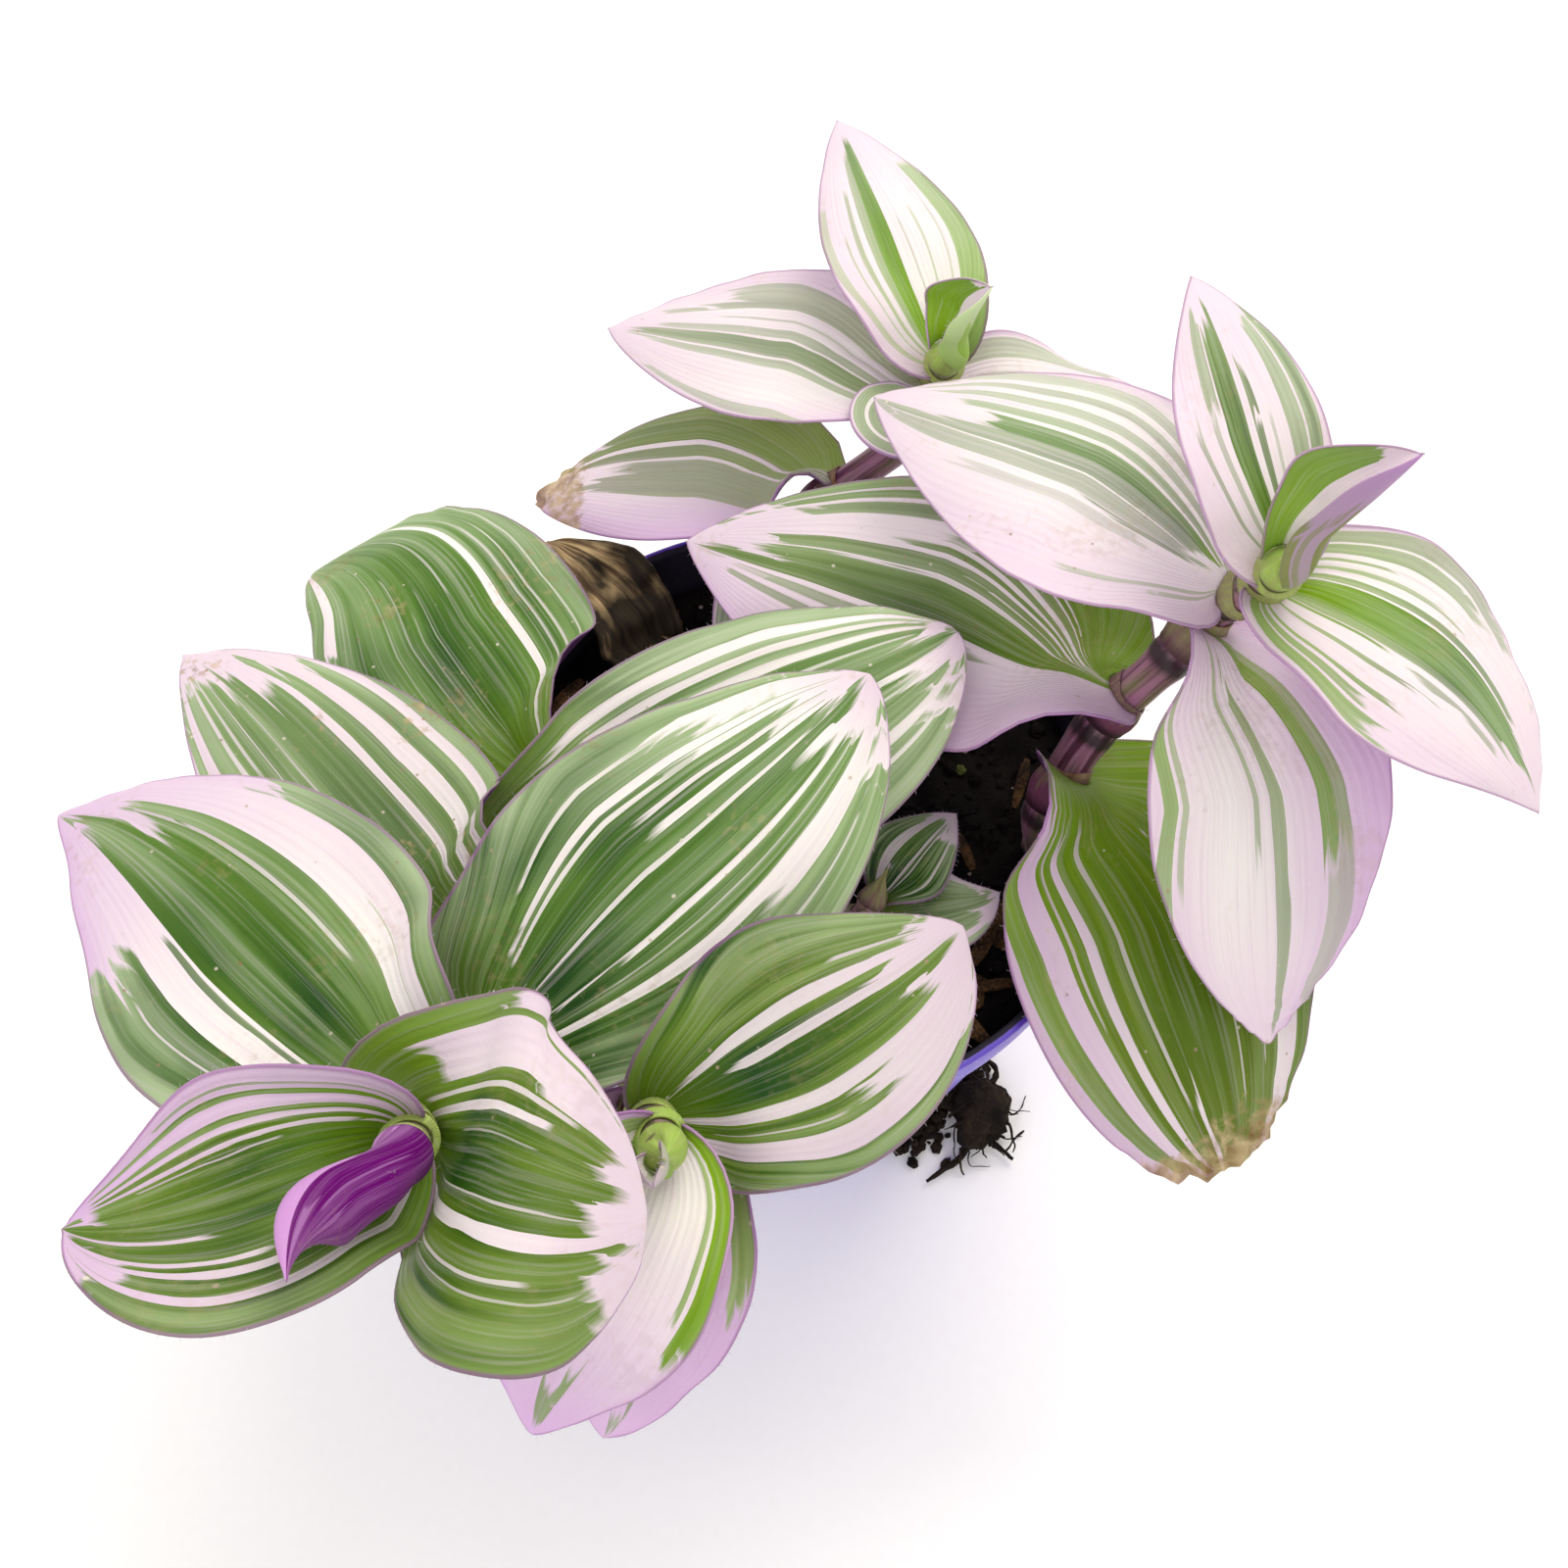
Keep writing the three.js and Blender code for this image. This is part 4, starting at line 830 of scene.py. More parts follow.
def makeLeaf(name, leaf, stem, seed, rows=54, columns=32):
    start, end, lay = holdOf(stem, leaf)
    # corners stand closer together towards the tip and the margins
    along, crowding = 1 - (1 - np.linspace(0, 1, rows + 1)[:-1]) ** 1.5, 0.94
    side = np.sin(np.linspace(-1, 1, columns + 1) * np.pi / 2 * crowding)
    side = side / math.sin(np.pi / 2 * crowding)
    u, v = np.meshgrid(along, side, indexing="ij")
    points, normal = midBlade(leaf, lay, u, v, seed)
    thick = mix(growth["thickness"], growth["marginThickness"], np.abs(v) ** 2.5)
    thick = thick * mix(1, 0.6, u) * min(1, 0.55 + leaf["width"] / 60)
    half = normal * thick[..., None] / 2
    # the margin and the foot close with a rounded edge
    out = [unit(points[:, edge] - points[:, inner]) for edge, inner in ((0, 1), (-1, -2))]
    rim = [points[:, edge] + way * thick[:, edge, None] * 0.4 for edge, way in zip((0, -1), out)]
    tip = points[-1].mean(0) + unit(points[-1].mean(0) - points[-3].mean(0)) * 0.5
    # attributes: place across, place along, part; and the same in millimetres
    widthMm = leaf["width"] / 2 * outlineAt(leaf, u)
    lengthMm = np.linalg.norm(lay["points"][3] - lay["points"][0])
    place = np.stack([v, u, np.zeros_like(u)], -1).reshape(-1, 3)
    sizes = np.stack([v * widthMm, u * lengthMm, (1 - np.abs(v)) * widthMm], -1).reshape(-1, 3)
    edge = np.stack([np.ones(rows), along, np.full(rows, 0.1)], -1)
    edgeMm = np.stack([widthMm[:, 0], along * lengthMm, np.zeros(rows)], -1)
    flip = [-1, 1, 1]
    ringPoints, ringPlace, ringSizes, (rings, sides), mouth = makeSheath(
        leaf, stem, lay["across"], start, end, seed, leaf["at"] == stem["count"] - 1)
    vertices = np.concatenate([(points + half).reshape(-1, 3), (points - half).reshape(-1, 3),
                               *rim, [tip]])
    faces = (bladeFaces(rows, columns + 1, True)
             + ringFaces(rings, sides, len(vertices), closed=True))
    piece = buildMesh(name, np.concatenate([vertices, ringPoints]), faces, None)
    giveVectors(
        piece,
        place=np.concatenate([place, place + [0, 0, 1], edge * flip, edge, [[0, 1, 0]],
                              ringPlace]),
        sizes=np.concatenate([sizes, sizes, edgeMm * flip, edgeMm, [[0, lengthMm, 0]],
                              ringSizes]))
    centre, ahead = stem["at"](end)[:2]
    return piece, dict(margin=np.concatenate(rim), out=np.concatenate(out), mouth=mouth,
                       centre=centre, ahead=ahead)


# Living stem: juicy and smooth with a thin waxy skin, purple where the sun reaches it, with
# darker streaks along it and a soft shine.
stemLook = dict(purple="#a5708a", dark="#5c2c45", green="#7d8a42", joint="#1f0a12",
                roughness=0.38, streakWidth=1.1, jointReach=0.16)


def stemSkin():
    add, finish = newMaterial("living stem, waxy skin", roughness=stemLook["roughness"],
                              ior=1.42, subsurface=0.15, subsurfaceReach=0.002, sheen=0.1)
    sizes = vectorOf(add, "sizes")
    streak = streaky(add, sizes, (1 / stemLook["streakWidth"], 0.07, 1), 3.0)
    colour = add("blend", add("MapRange", streak, 0.42, 0.62, 0.0, 1.0), stemLook["purple"],
                 stemLook["dark"])
    olive = add("MapRange", streaky(add, sizes, (0.16, 0.05, 0), 2.0), 0.48, 0.66, 0.0, 0.6)
    colour = add("blend", olive, colour, stemLook["green"])
    fresh = add("MapRange", add("SeparateXYZ", sizes).node.outputs[2], 0.55, 1.0, 0.0, 0.8)
    colour = add("blend", fresh, colour, stemLook["green"])
    # the joints are nearly black, with an uneven edge
    joint = add("multiply_add", streak, 0.8, add("SeparateXYZ", vectorOf(add, "place")))
    joint = add("MapRange", joint, 0.55, 1.1, 0.0, 0.9)
    return finish(add("blend", joint, colour, stemLook["joint"]), None, streak, 0.25, 0.6)


def makeStemPiece(name, stem, material, steps=150, sides=24):
    share = np.linspace(0, (stem["count"] - 0.5) / stem["count"], steps)
    centres, _, radii = map(np.array, zip(*(stem["at"](t) for t in share)))
    radii = radii * (1 + 0.02 * wobble(centres, 9, 4))
    piece = buildMesh(name, *tube(centres, radii, sides), material)
    length = np.concatenate([[0], np.cumsum(np.linalg.norm(np.diff(centres, axis=0), axis=1))])
    sizes = [(r * fullTurn * abs(k / sides - 0.5), d, t) for d, r, t in
             zip(length, radii, share) for k in range(sides)]
    # how near each ring is to a joint; the young ones at the top are pale
    spot = share * stem["count"]
    near = (1 - np.abs(spot - np.round(spot)) / stemLook["jointReach"]).clip(0, 1)
    near = near * (1 - smooth(share, 0.5, 0.8))
    return giveVectors(piece, sizes=sizes + [(0, 0, 0), (0, length[-1], 1)],
                       place=[(n, 0, 0) for n in near for _ in range(sides)] + [(0, 0, 0)] * 2)


# Fine plant hairs: clear to silvery, soft, up to 1.3 mm long; drawn 0.05 mm thick so they show
hairLook = dict(colour="#e6dce4", dark="#cdb7cf", thickness=0.024, bend=0.18,
                margin=(0.3, 0.8), mouth=(0.6, 1.3), marginStep=2, perMouth=26)


def makeHairs(name, roots, ways, lengths, material):
    # slim three-sided spikes that bend a little
    points, faces = [], []
    for root, way, length in zip(roots, map(unit, ways), lengths):
        side = unit(np.cross(way, [0.31, 0.52, 0.79]))
        third, base = np.cross(way, side), len(points)
        bend = side * length * hairLook["bend"]
        for share, thick in ((0, 1), (0.6, 0.7)):
            points += [root + way * length * share + bend * share ** 2
                       + (side * math.cos(a) + third * math.sin(a)) * hairLook["thickness"] * thick
                       for a in turns(3)]
        points.append(root + way * length + bend)
        faces += ringFaces(2, 3, base) + [(base + 2, base + 1, base)]
        faces += [(base + 3 + k, base + 3 + (k + 1) % 3, base + 6) for k in range(3)]
    return buildMesh(name, points, faces, material)


def hairSkin():
    add, finish = newMaterial("plant hair, clear and fine", roughness=0.5, ior=1.5)
    noise = add("TexNoise", add("TexCoord", pick=3), None, 1 / (4 * mm), 1.0)
    return finish(add("blend", noise, hairLook["colour"], hairLook["dark"]))


# Polypropylene nursery pot, thermoformed from thin sheet: an even violet with a soft waxy
# shine, a little light through the wall, fine scuffs, and on the inside earth with painted
# shade, near black.
pot = dict(height=95, rimRadius=52.5, baseRadius=36, wall=1.2, bandHeight=9, bandStep=1.4,
           sides=144, sway=0.22, violet="#6a50c8", deep="#5841b2", earthAndShade="#0e0a08",
           roughness=0.34, ior=1.49, drainCount=5, drainRadius=4.2, drainReach=34.5,
           drainHeight=2.5, drainDepth=16, drainTilt=55, drainFirst=-37)


def potPlastic():
    add, finish = newMaterial("polypropylene, thermoformed violet", ior=pot["ior"],
                              subsurface=0.2, subsurfaceReach=0.002)
    place = add("TexCoord", pick=3)
    cloudy = add("TexNoise", place, None, 1 / (22 * mm), 3.0)
    # earth and painted shade: near black on the inner side, with an uneven edge
    earthAndShade = add("multiply_add", add("TexNoise", place, None, 1 / (3 * mm), 4.0), 0.5,
                add("SeparateXYZ", vectorOf(add, "place")))
    earthAndShade = add("MapRange", earthAndShade, 0.6, 0.8, 0.0, 0.97)
    colour = add("blend", earthAndShade, add("blend", cloudy, pot["violet"], pot["deep"]), pot["earthAndShade"])
    scuffs = add("VectorMath", place, (1, 1, 5), operation="MULTIPLY")
    scuffs = add("TexNoise", scuffs, None, 1 / (1.5 * mm), 3.0)
    shine = add("MapRange", scuffs, 0.3, 0.75, pot["roughness"] - 0.06, pot["roughness"] + 0.16)
    return finish(colour, add("multiply_add", earthAndShade, 0.4, shine), scuffs, 0.05, 0.5)


def potProfile():
    # radius and height, from the middle of the foot up the outside and down inside to the floor
    h, rim, base, wall = pot["height"], pot["rimRadius"], pot["baseRadius"], pot["wall"]
    band, top = h - pot["bandHeight"], rim - pot["bandStep"]
    outer = [(0, 0.8), (20, 0.8), (24, 0.2), (base - 4, 0), (base - 1.2, 0), (base - 0.3, 0.35),
             (base + 0.1, 1.2)]
    outer += [(mix(base, top - 0.8, t), mix(1, band, t)) for t in np.linspace(0.03, 0.985, 30)]
    outer += [(top - 0.75, band - 0.3), (top - 0.3, band + 0.25), (rim - 0.9, band + 0.5),
              (rim - 0.7, band + 0.8), (rim - 0.66, band + 3), (rim - 0.66, band + 5.5),
              (rim - 0.7, h - 1.5), (rim - 0.45, h - 1.1), (rim - 0.08, h - 0.85), (rim, h - 0.5),
              (rim - 0.1, h - 0.12)]
    inner = [(rim - 0.45, h), (rim - 1.2, h), (rim - 1.7, h - 0.2), (rim - 1.85, h - 0.8),
             (rim - 1.85, band + 1.8)]
    inner += [(mix(top - wall - 0.8, base - wall, t), mix(band - 0.4, wall + 0.6, t))
              for t in (0, 0.1, 0.3, 0.6, 0.9, 1)]
    return outer, inner + [(0, wall + 0.6)]


def makePot():
    outer, inner = potProfile()
    profile, turn = outer + inner, turns(pot["sides"])
    rings = []
    for radius, height in profile[1:-1]:
        # the thin rim isn't quite round
        sway = pot["sway"] * smooth(height, 40, 95) * np.sin(3 * turn + 0.6) * (radius > 40)
        rings.append(circle(turn, radius + sway, height))
    ends = [(0, 0, profile[k][1]) for k in (0, -1)]
    body = buildMesh("potWall", *closeRings(rings, *ends), potPlastic())
    cutters, tilt = [], math.radians(pot["drainTilt"])
    for k in range(pot["drainCount"]):
        angle = math.radians(pot["drainFirst"] + 360 / pot["drainCount"] * k)
        out = np.array([math.cos(angle), math.sin(angle), 0])
        way = out * math.sin(tilt) + np.array([0, 0, math.cos(tilt)])
        middle = out * pot["drainReach"] + np.array([0, 0, pot["drainHeight"]])
        half = way * (pot["drainDepth"] / 2)
        bar = tube([middle - half, middle + half], [pot["drainRadius"]] * 2, 20)
        cutters.append(buildMesh("drain cutter", *bar, None))
        cut = body.modifiers.new("drain", "BOOLEAN")
        cut.object, cut.operation, cut.solver = cutters[-1], "DIFFERENCE", "EXACT"
    graph = bpy.context.evaluated_depsgraph_get()
    ready = bpy.data.meshes.new_from_object(body.evaluated_get(graph), depsgraph=graph,
                                            preserve_all_data_layers=True)
    body.modifiers.clear()
    body.data = ready
    for cutter in cutters:
        bpy.data.objects.remove(cutter)
    # 1 on the inner side, where earth sticks to the wall and shade is painted near black
    corners = np.array([v.co for v in ready.vertices]) / mm
    skin = np.interp(corners[:, 2], *zip(*((h, r) for r, h in outer if h > 1)))
    depth = skin - np.linalg.norm(corners[:, :2], axis=1)
    within = smooth(depth, 0.5, 1.0) * (corners[:, 2] > 1.1)
    return giveVectors(body, place=np.stack([within, within * 0, within * 0], -1))


# Potting soil: damp dark peat crumbs with bark chips, pale mineral grains and a little moss.
# Peat is rough and nearly black when wet, and its colours are darker still, as painted shade
# from the leaves above; bark is brown and fibrous; the grains are chalky.
soil = dict(level=86, bump=1.1, top=48.6, foot=2.4, sides=150, rings=44,
            reach=47, crumbs=1500, crumbSize=(0.5, 1.5), grains=70, grainSize=(0.4, 0.9),
            mossReach=40, moss=26, mossSize=(0.5, 1.3), chipReach=45, chips=34,
            frontChips=12, frontTurn=(-1.0, -0.55), frontReach=(34, 45), chipLength=(4, 12),
            # peat: darker than damp peat itself, as painted shade under the leaves
            chipWidth=(1.6, 3.6), chipThickness=0.8, peat=("#060403", "#17100c"),
            bark=("#241812", "#7a5a34"),
            grain=("#8d8478", "#b5aa9a"), mossGreen=("#3d4520", "#6f7d33"))


def soilHeight(x, y):
    bumps = (np.sin(x * 0.31 + y * 0.12) + np.sin(y * 0.37 - x * 0.17 + 1.3)
             + np.sin(x * 0.71 + 2.1) * np.sin(y * 0.63))
    return soil["level"] + soil["bump"] * bumps / 2


def earthy(name, tones, patch, grain, roughness=0.95, depth=0.5):
    # a rough natural surface of two tones: patch and grain are sizes in millimetres
    add, finish = newMaterial(name, roughness=roughness, ior=1.45, specular=0.25)
    place = add("TexCoord", pick=3)
    large = add("TexNoise", place, None, 1 / (patch * mm), 3.0)
    small = add("TexNoise", place, None, 1 / (grain * mm), 4.0, 0.65)
    tone = add("MapRange", add("multiply", large, small), 0.16, 0.42, 0.0, 1.0)
    return finish(add("blend", tone, *tones), None, small, depth, 0.8)


def icoCorners():
    # the twelve corners of an icosahedron, and the triangles between neighbours
    golden = (1 + 5 ** 0.5) / 2
    pairs = [(a, b * golden) for a in (-1, 1) for b in (-1, 1)]
    corners = unit(np.array([(0, a, b) for a, b in pairs] + [(a, b, 0) for a, b in pairs]
                            + [(b, 0, a) for a, b in pairs]))
    near = np.linalg.norm(corners[:, None] - corners[None], axis=-1) < 1.1
    faces = []
    for a, b, c in combinations(range(12), 3):
        if near[a, b] and near[b, c] and near[a, c]:
            way = np.cross(corners[b] - corners[a], corners[c] - corners[a])
            faces.append((a, b, c) if way @ corners[a] > 0 else (a, c, b))
    return corners, np.array(faces)


def turned(points, angle):
    # turned about the upright axis
    c, s = math.cos(angle), math.sin(angle)
    x, y, z = np.moveaxis(points, -1, 0)
    return np.stack([x * c - y * s, x * s + y * c, z], -1)


def lumps(name, spots, material, dice, flat=0.8):
    # small angular lumps: each spot is a place and a size
    (corners, hull), points, faces = icoCorners(), [], []
    for place, size in spots:
        turn = dice.uniform(0, fullTurn)
        own = corners * dice.uniform(0.7, 1.25, (12, 1)) * size
        own = own * (1, dice.uniform(0.6, 1), flat * dice.uniform(0.6, 1))
        faces += (hull + len(points) * 12).tolist()
        points.append(turned(own, turn) + place)
    return buildMesh(name, np.concatenate(points), faces, material, facets=True)


def spotsOnSoil(count, reach, sizes, dice, sink=0.2):
    spots = []
    for _ in range(count):
        r, a = reach * math.sqrt(dice.uniform()), dice.uniform(0, fullTurn)
        size = mix(*sizes, dice.uniform() ** 2)
        x, y = r * math.cos(a), r * math.sin(a)
        spots.append((np.array([x, y, soilHeight(x, y) + size * (0.5 - sink)]), size))
    return spots


def makeSoil():
    dice, turn = np.random.default_rng(7), turns(soil["sides"])
    rings = [circle(turn, r, h) for r, h in (
        (pot["baseRadius"] - 1.8, soil["foot"]), (pot["baseRadius"] + 2.5, 20),
        (pot["baseRadius"] + 6, 45), (47.6, 80), (soil["top"] - 0.2, 83))]
    for radius in np.linspace(soil["top"], 1.0, soil["rings"]):
        ring = circle(turn, radius, 0)
        ring[:, 2] = soilHeight(*ring.T[:2]) - 0.8 * (radius > 47)
        rough = 0.9 * wobble(ring, 6, 3) + 0.55 * wobble(ring, 2.4, 4, 9)
        ring[:, 2] += rough * smooth(soil["top"] + 1 - radius, 0, 4)
        rings.append(ring)
    peat = earthy("peat, damp and crumbly", soil["peat"], 9, 0.8)
    sheet = closeRings(rings, (0, 0, soil["foot"]), (0, 0, soilHeight(0, 0)))
    yield buildMesh("pottingSoil", *sheet, peat)
    reach = soil["reach"]
    yield lumps("soilCrumbs", spotsOnSoil(soil["crumbs"], reach, soil["crumbSize"], dice), peat,
                dice)
    yield lumps("paleGrains", spotsOnSoil(soil["grains"], reach, soil["grainSize"], dice, 0),
                earthy("perlite and grit, chalky", soil["grain"], 3, 0.5), dice)
    yield lumps("mossTufts",
                spotsOnSoil(soil["moss"], soil["mossReach"], soil["mossSize"], dice, 0),
                earthy("moss, soft and green", soil["mossGreen"], 2, 0.4), dice, 0.6)
    yield makeChips(dice)


def makeChips(dice, steps=6):
    # torn slivers of bark, lying at all angles
    points, faces = [], []
    for k in range(soil["chips"]):
        reach = soil["chipReach"] * math.sqrt(dice.uniform(0.1, 1))
        angle = dice.uniform(0, fullTurn)
        if k < soil["frontChips"]:  # these lie at the front right
            angle = dice.uniform(*soil["frontTurn"])
            reach = dice.uniform(*soil["frontReach"])
        x, y = reach * math.cos(angle), reach * math.sin(angle)
        length, width = mix(*soil["chipLength"], dice.uniform()), dice.uniform(*soil["chipWidth"])
        turn, tilt = dice.uniform(0, math.pi), dice.uniform(-0.3, 0.3)
        way = np.array([math.cos(turn) * math.cos(tilt), math.sin(turn) * math.cos(tilt),
                        math.sin(tilt)])
        side = unit(np.cross([0, 0, 1], way))
        up = np.cross(way, side)
        faces += ringFaces(steps, 6, len(points), closed=True)
        for s in np.arange(steps) / (steps - 1) - 0.5:
            w = width * (1 - 0.5 * abs(2 * s) ** 2) * dice.uniform(0.8, 1.15)
            t = soil["chipThickness"] * dice.uniform(0.7, 1.2) * (1 - 0.4 * abs(2 * s))
            centre = np.array([x, y, soilHeight(x, y) + 1.2]) + way * length * s
            centre = centre + up * 0.5 * math.cos(s * 3)
            points += [centre + side * a * w / 2 + up * b * t for a, b in (
                (-1, -0.5), (0, -1), (1, -0.5), (1, 0.5), (0, 1), (-1, 0.5))]
    bark = earthy("pine bark, torn and fibrous", soil["bark"], 4, 0.5, 0.85)
    return buildMesh("barkChips", points, faces, bark, facets=True)


# Roots that have grown out of a drain hole: thin, dark and matte, with damp earth stuck to them
roots = dict(at=(38, -24.5, 4.2), size=(5.5, 6.5, 3.8), radius=0.9, threads=60,
             threadLength=(3, 8), threadRadius=(0.15, 0.4), clods=150, clodSize=(0.5, 1.7),
             clodTurn=(-56, -17), colours=("#0f0b08", "#33261a"), sides=32, levels=17, steps=22)
rootRoutes = [
    [(26.5, -20, 6), (31, -23, 4.2), (38, -26, 3), (41, -30, 1.8), (44.5, -33, 1.4)],
    [(36, -22, 5), (41, -19, 3.2), (44, -21, 2), (43, -25, 1.5)],
    [(37, -26, 3.5), (34, -32, 2.2), (30, -36, 1.6), (27, -37.5, 1.3)],
    [(38, -22, 4), (41.5, -15.5, 2.4), (39.5, -11.5, 1.6)],
]


def makeRoots():
    dice = np.random.default_rng(21)
    material = earthy("roots with earth on them", roots["colours"], 5, 0.7, 0.9)
    steps, points = roots["steps"], []
    for level in np.linspace(-0.98, 0.98, roots["levels"]):
        ring = circle(turns(roots["sides"]), math.sqrt(1 - level ** 2), level) * roots["size"]
        lumpy = (1 + 0.2 * wobble(ring + roots["at"], 5, 5)
                 + 0.16 * wobble(ring + roots["at"], 2.2, 6))
        points.append(ring * lumpy[:, None] + roots["at"])
    points = [np.concatenate(points)]
    points[0][:, 2] = np.maximum(points[0][:, 2], 0.3)
    faces, count = ringFaces(roots["levels"], roots["sides"], closed=True), len(points[0])
    routes = [(np.array(route, float), roots["radius"]) for route in rootRoutes]
    for _ in range(roots["threads"]):
        start = np.array(roots["at"]) + dice.normal(size=3) * (3, 3.5, 1.5)
        start[2] = max(start[2], 0.8)
        way = unit(dice.normal(size=3) * (1, 1, 0.25)) * dice.uniform(*roots["threadLength"])
        middle, end = start + way * 0.5 + dice.normal(size=3) * (1.5, 1.5, 0.5), start + way
        middle[2], end[2] = max(middle[2], 0.6), max(end[2] * 0.4, 0.35)
        routes.append((np.array([start, middle, end]), dice.uniform(*roots["threadRadius"])))
    for route, radius in routes:
        centres = np.array([stemCurve(route)(t) for t in np.linspace(0, 1, steps)])
        sway = np.stack([wobble(centres, 4, k) for k in (1, 2, 3)], -1) * (0.5, 0.5, 0.1)
        centres[1:] += sway[1:]
        centres[:, 2] = np.maximum(centres[:, 2], 0.35)
        radii = np.linspace(radius, radius * 0.4, steps) * (1 + 0.2 * wobble(centres, 2, 9))
        corners, quads = tube(centres, radii, 8)
        points.append(corners)
        faces += [tuple(count + k for k in face) for face in quads]
        count += len(corners)
    # clods of earth that hang in the roots and lie against the pot's foot
    spots = []
    for _ in range(roots["clods"]):
        angle = math.radians(dice.uniform(*roots["clodTurn"]))
        reach = pot["baseRadius"] + 0.8 + abs(dice.normal()) * 2.8
        size = dice.uniform(*roots["clodSize"])
        height = size * 0.45 + dice.uniform(0, 3.2) * (reach < 41)
        spots.append((np.array([math.cos(angle) * reach, math.sin(angle) * reach, height]), size))
    clods = lumps("rootClods", spots, material, dice)
    return buildMesh("drainRoots", np.concatenate(points), faces, material), clods


# Withered leaf: dry, matte and papery, tan along its old veins; painted shade darkens it to
# near black towards the foot
dryLeaf = {**usualLeaf, **dict(foot=(-23, 30, 83), tip=(-42, 47, 98), footRadius=6, width=18,
                               cup=(40, 35), arch=7, ripple=2.2, thickness=0.7,
                               dark="#5c4630", tan="#b39a70", footShade="#120c08")}


def makeDryLeaf(rows=40, columns=24):
    foot, along = np.array(dryLeaf["foot"], float), np.array([0, 0, 1.0])
    lean = np.array(dryLeaf["tip"], float) - foot
    lean = unit(lean - along * (lean @ along))
    lay = layOut(dryLeaf, foot, along, lean, dryLeaf["footRadius"])
    u, v = np.meshgrid(1 - (1 - np.linspace(0, 1, rows + 1)[:-1]) ** 1.5,
                       np.linspace(-1, 1, columns + 1), indexing="ij")
    points = bladePoints(dryLeaf, lay, u, v)
    normal = unit(np.cross(np.gradient(points, axis=1), np.gradient(points, axis=0)))
    crumple = 1.3 * wobble(points, 8, 31) + 0.7 * np.abs(wobble(points, 4, 32))
    points = points + normal * (crumple * smooth(u, 0, 0.2))[..., None]
    half = normal * dryLeaf["thickness"] / 2
    vertices = np.concatenate([(points + half).reshape(-1, 3), (points - half).reshape(-1, 3),
                               [points[-1].mean(0)]])
    piece = buildMesh("driedLeaf", vertices, bladeFaces(rows, columns + 1, False), deadLeafSkin())
    sizes = np.stack([v * 8, u * 24, u], -1).reshape(-1, 3)
    return giveVectors(piece, sizes=np.concatenate([sizes, sizes, [(0, 24, 1)]]))


def deadLeafSkin():
    add, finish = newMaterial("dried leaf, papery", roughness=0.8, specular=0.25)
    sizes = vectorOf(add, "sizes")
    fibre = streaky(add, sizes, (0.9, 0.12, 1), 4.0)
    colour = add("blend", add("MapRange", fibre, 0.4, 0.62, 0.0, 1.0), dryLeaf["dark"],
                 dryLeaf["tan"])
    # painted shade: near black towards the foot, with an uneven edge
    footShade = add("multiply_add", add("SeparateXYZ", sizes).node.outputs[2], -0.55,
              add("TexNoise", sizes, None, 0.16, 3.0))
    footShade = add("MapRange", footShade, 0.02, 0.2, 0.0, 0.93)
    return finish(add("blend", footShade, colour, dryLeaf["footShade"]), None, fibre, 0.35, 0.8)


# Scraps of old leaf on the soil: brown, papery and curled
scraps = dict(count=16, size=(2.5, 7), thickness=0.44, centre=(-17, 27), spread=7.5, reach=44,
              colours=("#2a1c11", "#8a6d46"))


def makeScraps(n=7):
    dice = np.random.default_rng(77)
    points, faces = [], []
    for _ in range(scraps["count"]):
        x, y = np.array(scraps["centre"]) + dice.normal(size=2) * scraps["spread"]
        if math.hypot(x, y) > scraps["reach"]:
            continue
        size, turn = dice.uniform(*scraps["size"]), dice.uniform(0, fullTurn)
        tilt, curl = dice.uniform(-0.5, 0.5), dice.uniform(0.3, 0.9)
        base, step = len(points) * 2 * n * n, np.arange(n) / (n - 1) - 0.5
        a, b = np.meshgrid(step, step * 0.55, indexing="ij")
        b = b * (1.2 - np.abs(a) + 0.25 * np.sin(a * 19 + base))
        sheet = np.stack([a, b, curl * (a * a * 1.6 + b * b * 2) + tilt * a], -1) * size
        sheet = turned(sheet, turn) + (x, y, soilHeight(x, y) + 0.9)
        half = np.array([0, 0, scraps["thickness"] / 2])
        points.append(np.concatenate([(sheet + half).reshape(-1, 3),
                                      (sheet - half).reshape(-1, 3)]))
        faces += sheetFaces(n, n, base)
    paper = earthy("scraps of old leaf", scraps["colours"], 3, 0.6, 0.85, 0.3)
    return buildMesh("leafScraps", np.concatenate(points), faces, paper)


# The rounded foot of one of the back shoot's leaves, which stands out beside the stem
footLobe = dict(centre=(16.9, 51.6, 124.1), reach=7.8, turn=(42, 318), thickness=0.7, cup=0.9,
                look=dict(ground=0.85, faded=0.6, grey=0.5, specks=0.1, blush=(0, 0.3, 0.1),
                          stripes=[(20, 36, 120, 5), (84, 100, 120, 0), (-60, -50, 120, 30)]))


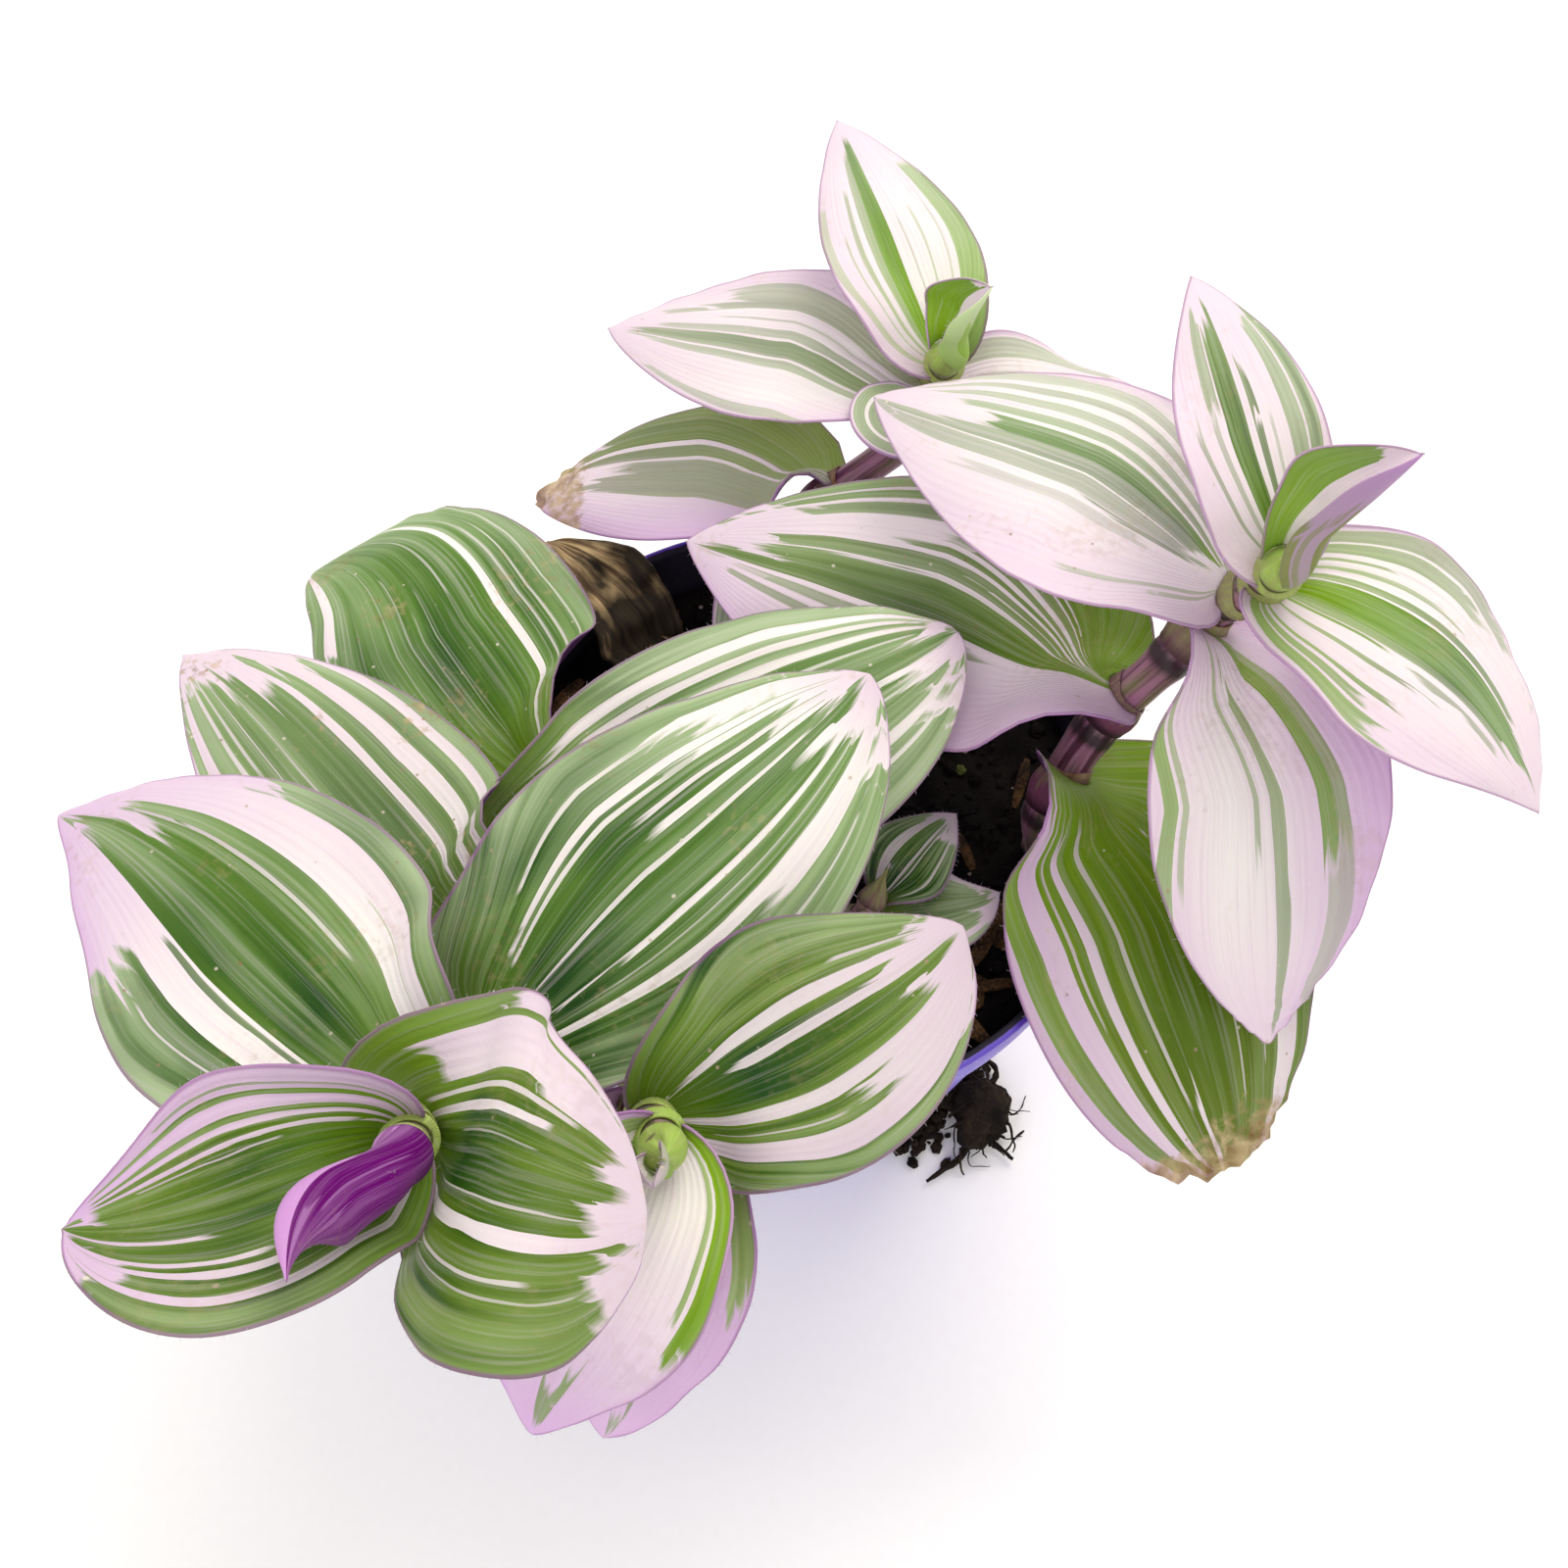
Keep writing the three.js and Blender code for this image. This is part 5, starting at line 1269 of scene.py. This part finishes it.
def makeFootLobe(rows=16, columns=48):
    share, turn = np.meshgrid(np.linspace(0.15, 1, rows),
                              np.radians(np.linspace(*footLobe["turn"], columns)), indexing="ij")
    reach = share * footLobe["reach"] * (1 - 0.15 * smooth(np.abs(turn - math.pi), 1.4, 2.3))
    height = footLobe["cup"] * (share ** 2 - 0.9 * share ** 6) - 0.2 * reach * np.cos(turn)
    top = circle(turn, reach, height) + footLobe["centre"]
    top[..., 2] += 0.2 * wobble(top, 7, 5)
    low = top - [0, 0, footLobe["thickness"]] + [0, 0, 0.3] * (share[..., None] > 0.99)
    piece = buildMesh("footLobe", np.concatenate([top.reshape(-1, 3), low.reshape(-1, 3)]),
                      sheetFaces(rows, columns), leafSkin("leaf skin, foot", footLobe["look"], 61))
    place = np.stack([share * 2 - 1, 0.3 + 0.25 * (turn - math.pi / 2) / math.pi, turn * 0], -1)
    place = place.reshape(-1, 3)
    sizes = np.stack([reach, turn * 6, (1 - share) * footLobe["reach"]], -1).reshape(-1, 3)
    return giveVectors(piece, place=np.concatenate([place, place + [0, 0, 1]]),
                       sizes=np.concatenate([sizes, sizes]))


skinStem, skinHair = stemSkin(), hairSkin()
dice = np.random.default_rng(5)
leafCount = 0
for shootName, shoot in shoots.items():
    stem = makeStem(shoot)
    settle(makeStemPiece(f"{shootName}Stem", stem, skinStem), "stem", f"stem_{shootName}")
    hairs = []
    for number, (own, look) in enumerate(zip(shoot["leaves"], looks[shootName]), 1):
        leafCount += 1
        piece, edge = makeLeaf(f"{shootName}Leaf{number}", {**usualLeaf, **own}, stem, leafCount)
        piece.data.materials.append(
            leafSkin(f"leaf skin, {shootName} {number}", look, leafCount))
        settle(piece, "leaf", f"leaf_{shootName}_{number}")
        step = hairLook["marginStep"]
        for root, out in zip(edge["margin"][::step], edge["out"][::step]):
            way = out + dice.normal(size=3) * 0.35
            hairs.append((root, way, dice.uniform(*hairLook["margin"])))
        for _ in range(hairLook["perMouth"]):
            root = edge["mouth"][dice.integers(len(edge["mouth"]))] + dice.normal(size=3) * 0.15
            way = (unit(root - edge["centre"]) * 0.5 + edge["ahead"]
                   + dice.normal(size=3) * 0.25)
            hairs.append((root, way, dice.uniform(*hairLook["mouth"])))
    settle(makeHairs(f"{shootName}Hairs", *zip(*hairs), skinHair), "leaf")
settle(makeFootLobe(), "leaf")
print("leaves and stems:", leafCount, "leaves")

settle(makePot(), "pot_plastic", "pot")
for piece, nodes in zip(makeSoil(), (["soil"], [], [], [], [])):
    settle(piece, "potting_soil", *nodes)
for piece, nodes in zip(makeRoots(), (["roots"], [])):
    settle(piece, "root", *nodes)
settle(makeDryLeaf(), "dry_leaf", "leaf_dry")
settle(makeScraps(), "dry_leaf")
print("pot, soil, roots and dried leaf")

# Seamless background paper: matte white with a faint tooth
stage = dict(paper=("#fbfaf8", "#f8f6f4"), half=1500, eye=(-1.2, -129.6, 341.5), elevation=62,
             lens=40, sensor=36, air="#fffefb", sky=0.88, aim=(0, 0, 0.08),
             lamps=[("window", (0.35, 0.75, 1.1), 0.9, 10.4, "#fff9f0"),
                    ("soft fill", (-0.5, -0.9, 0.9), 1.4, 5.0, "#ffffff")])


def paperFloor():
    add, finish = newMaterial("background paper, matte", roughness=0.9, specular=0.2)
    tooth = add("TexNoise", add("TexCoord", pick=3), None, 1 / (2 * mm), 3.0)
    return finish(add("blend", tooth, *stage["paper"]))


def lamp(name, at, size, power, colour):
    # a round soft lamp that looks at the plant
    light = bpy.data.lights.new(name, "AREA")
    light.shape, light.size, light.energy = "DISK", size, power
    light.color = linear(colour)[:3]
    made = bpy.data.objects.new(name, light)
    scene.collection.objects.link(made)
    made.location = at
    way = Vector(stage["aim"]) - Vector(at)
    made.rotation_euler = way.to_track_quat("-Z", "Y").to_euler()


edge = stage["half"]
buildMesh("floor", [(-edge, -edge, 0), (edge, -edge, 0), (edge, edge, 0),
                             (-edge, edge, 0)], [(0, 1, 2, 3)], paperFloor())
for row in stage["lamps"]:
    lamp(*row)
world = bpy.data.worlds.new("studio")
world.use_nodes = True
air = world.node_tree.nodes["Background"].inputs
air["Strength"].default_value, air["Color"].default_value = stage["sky"], linear(stage["air"])
scene.world = world
scene.view_settings.view_transform = "Standard"

lens = bpy.data.cameras.new("camera")
lens.lens, lens.sensor_width, lens.sensor_fit = stage["lens"], stage["sensor"], "HORIZONTAL"
lens.clip_start = 0.01
camera = bpy.data.objects.new("camera", lens)
scene.collection.objects.link(camera)
camera.location = [x * mm for x in stage["eye"]]
camera.rotation_euler = (math.radians(90 - stage["elevation"]), 0, 0)
scene.camera = camera
print("floor, light and camera")
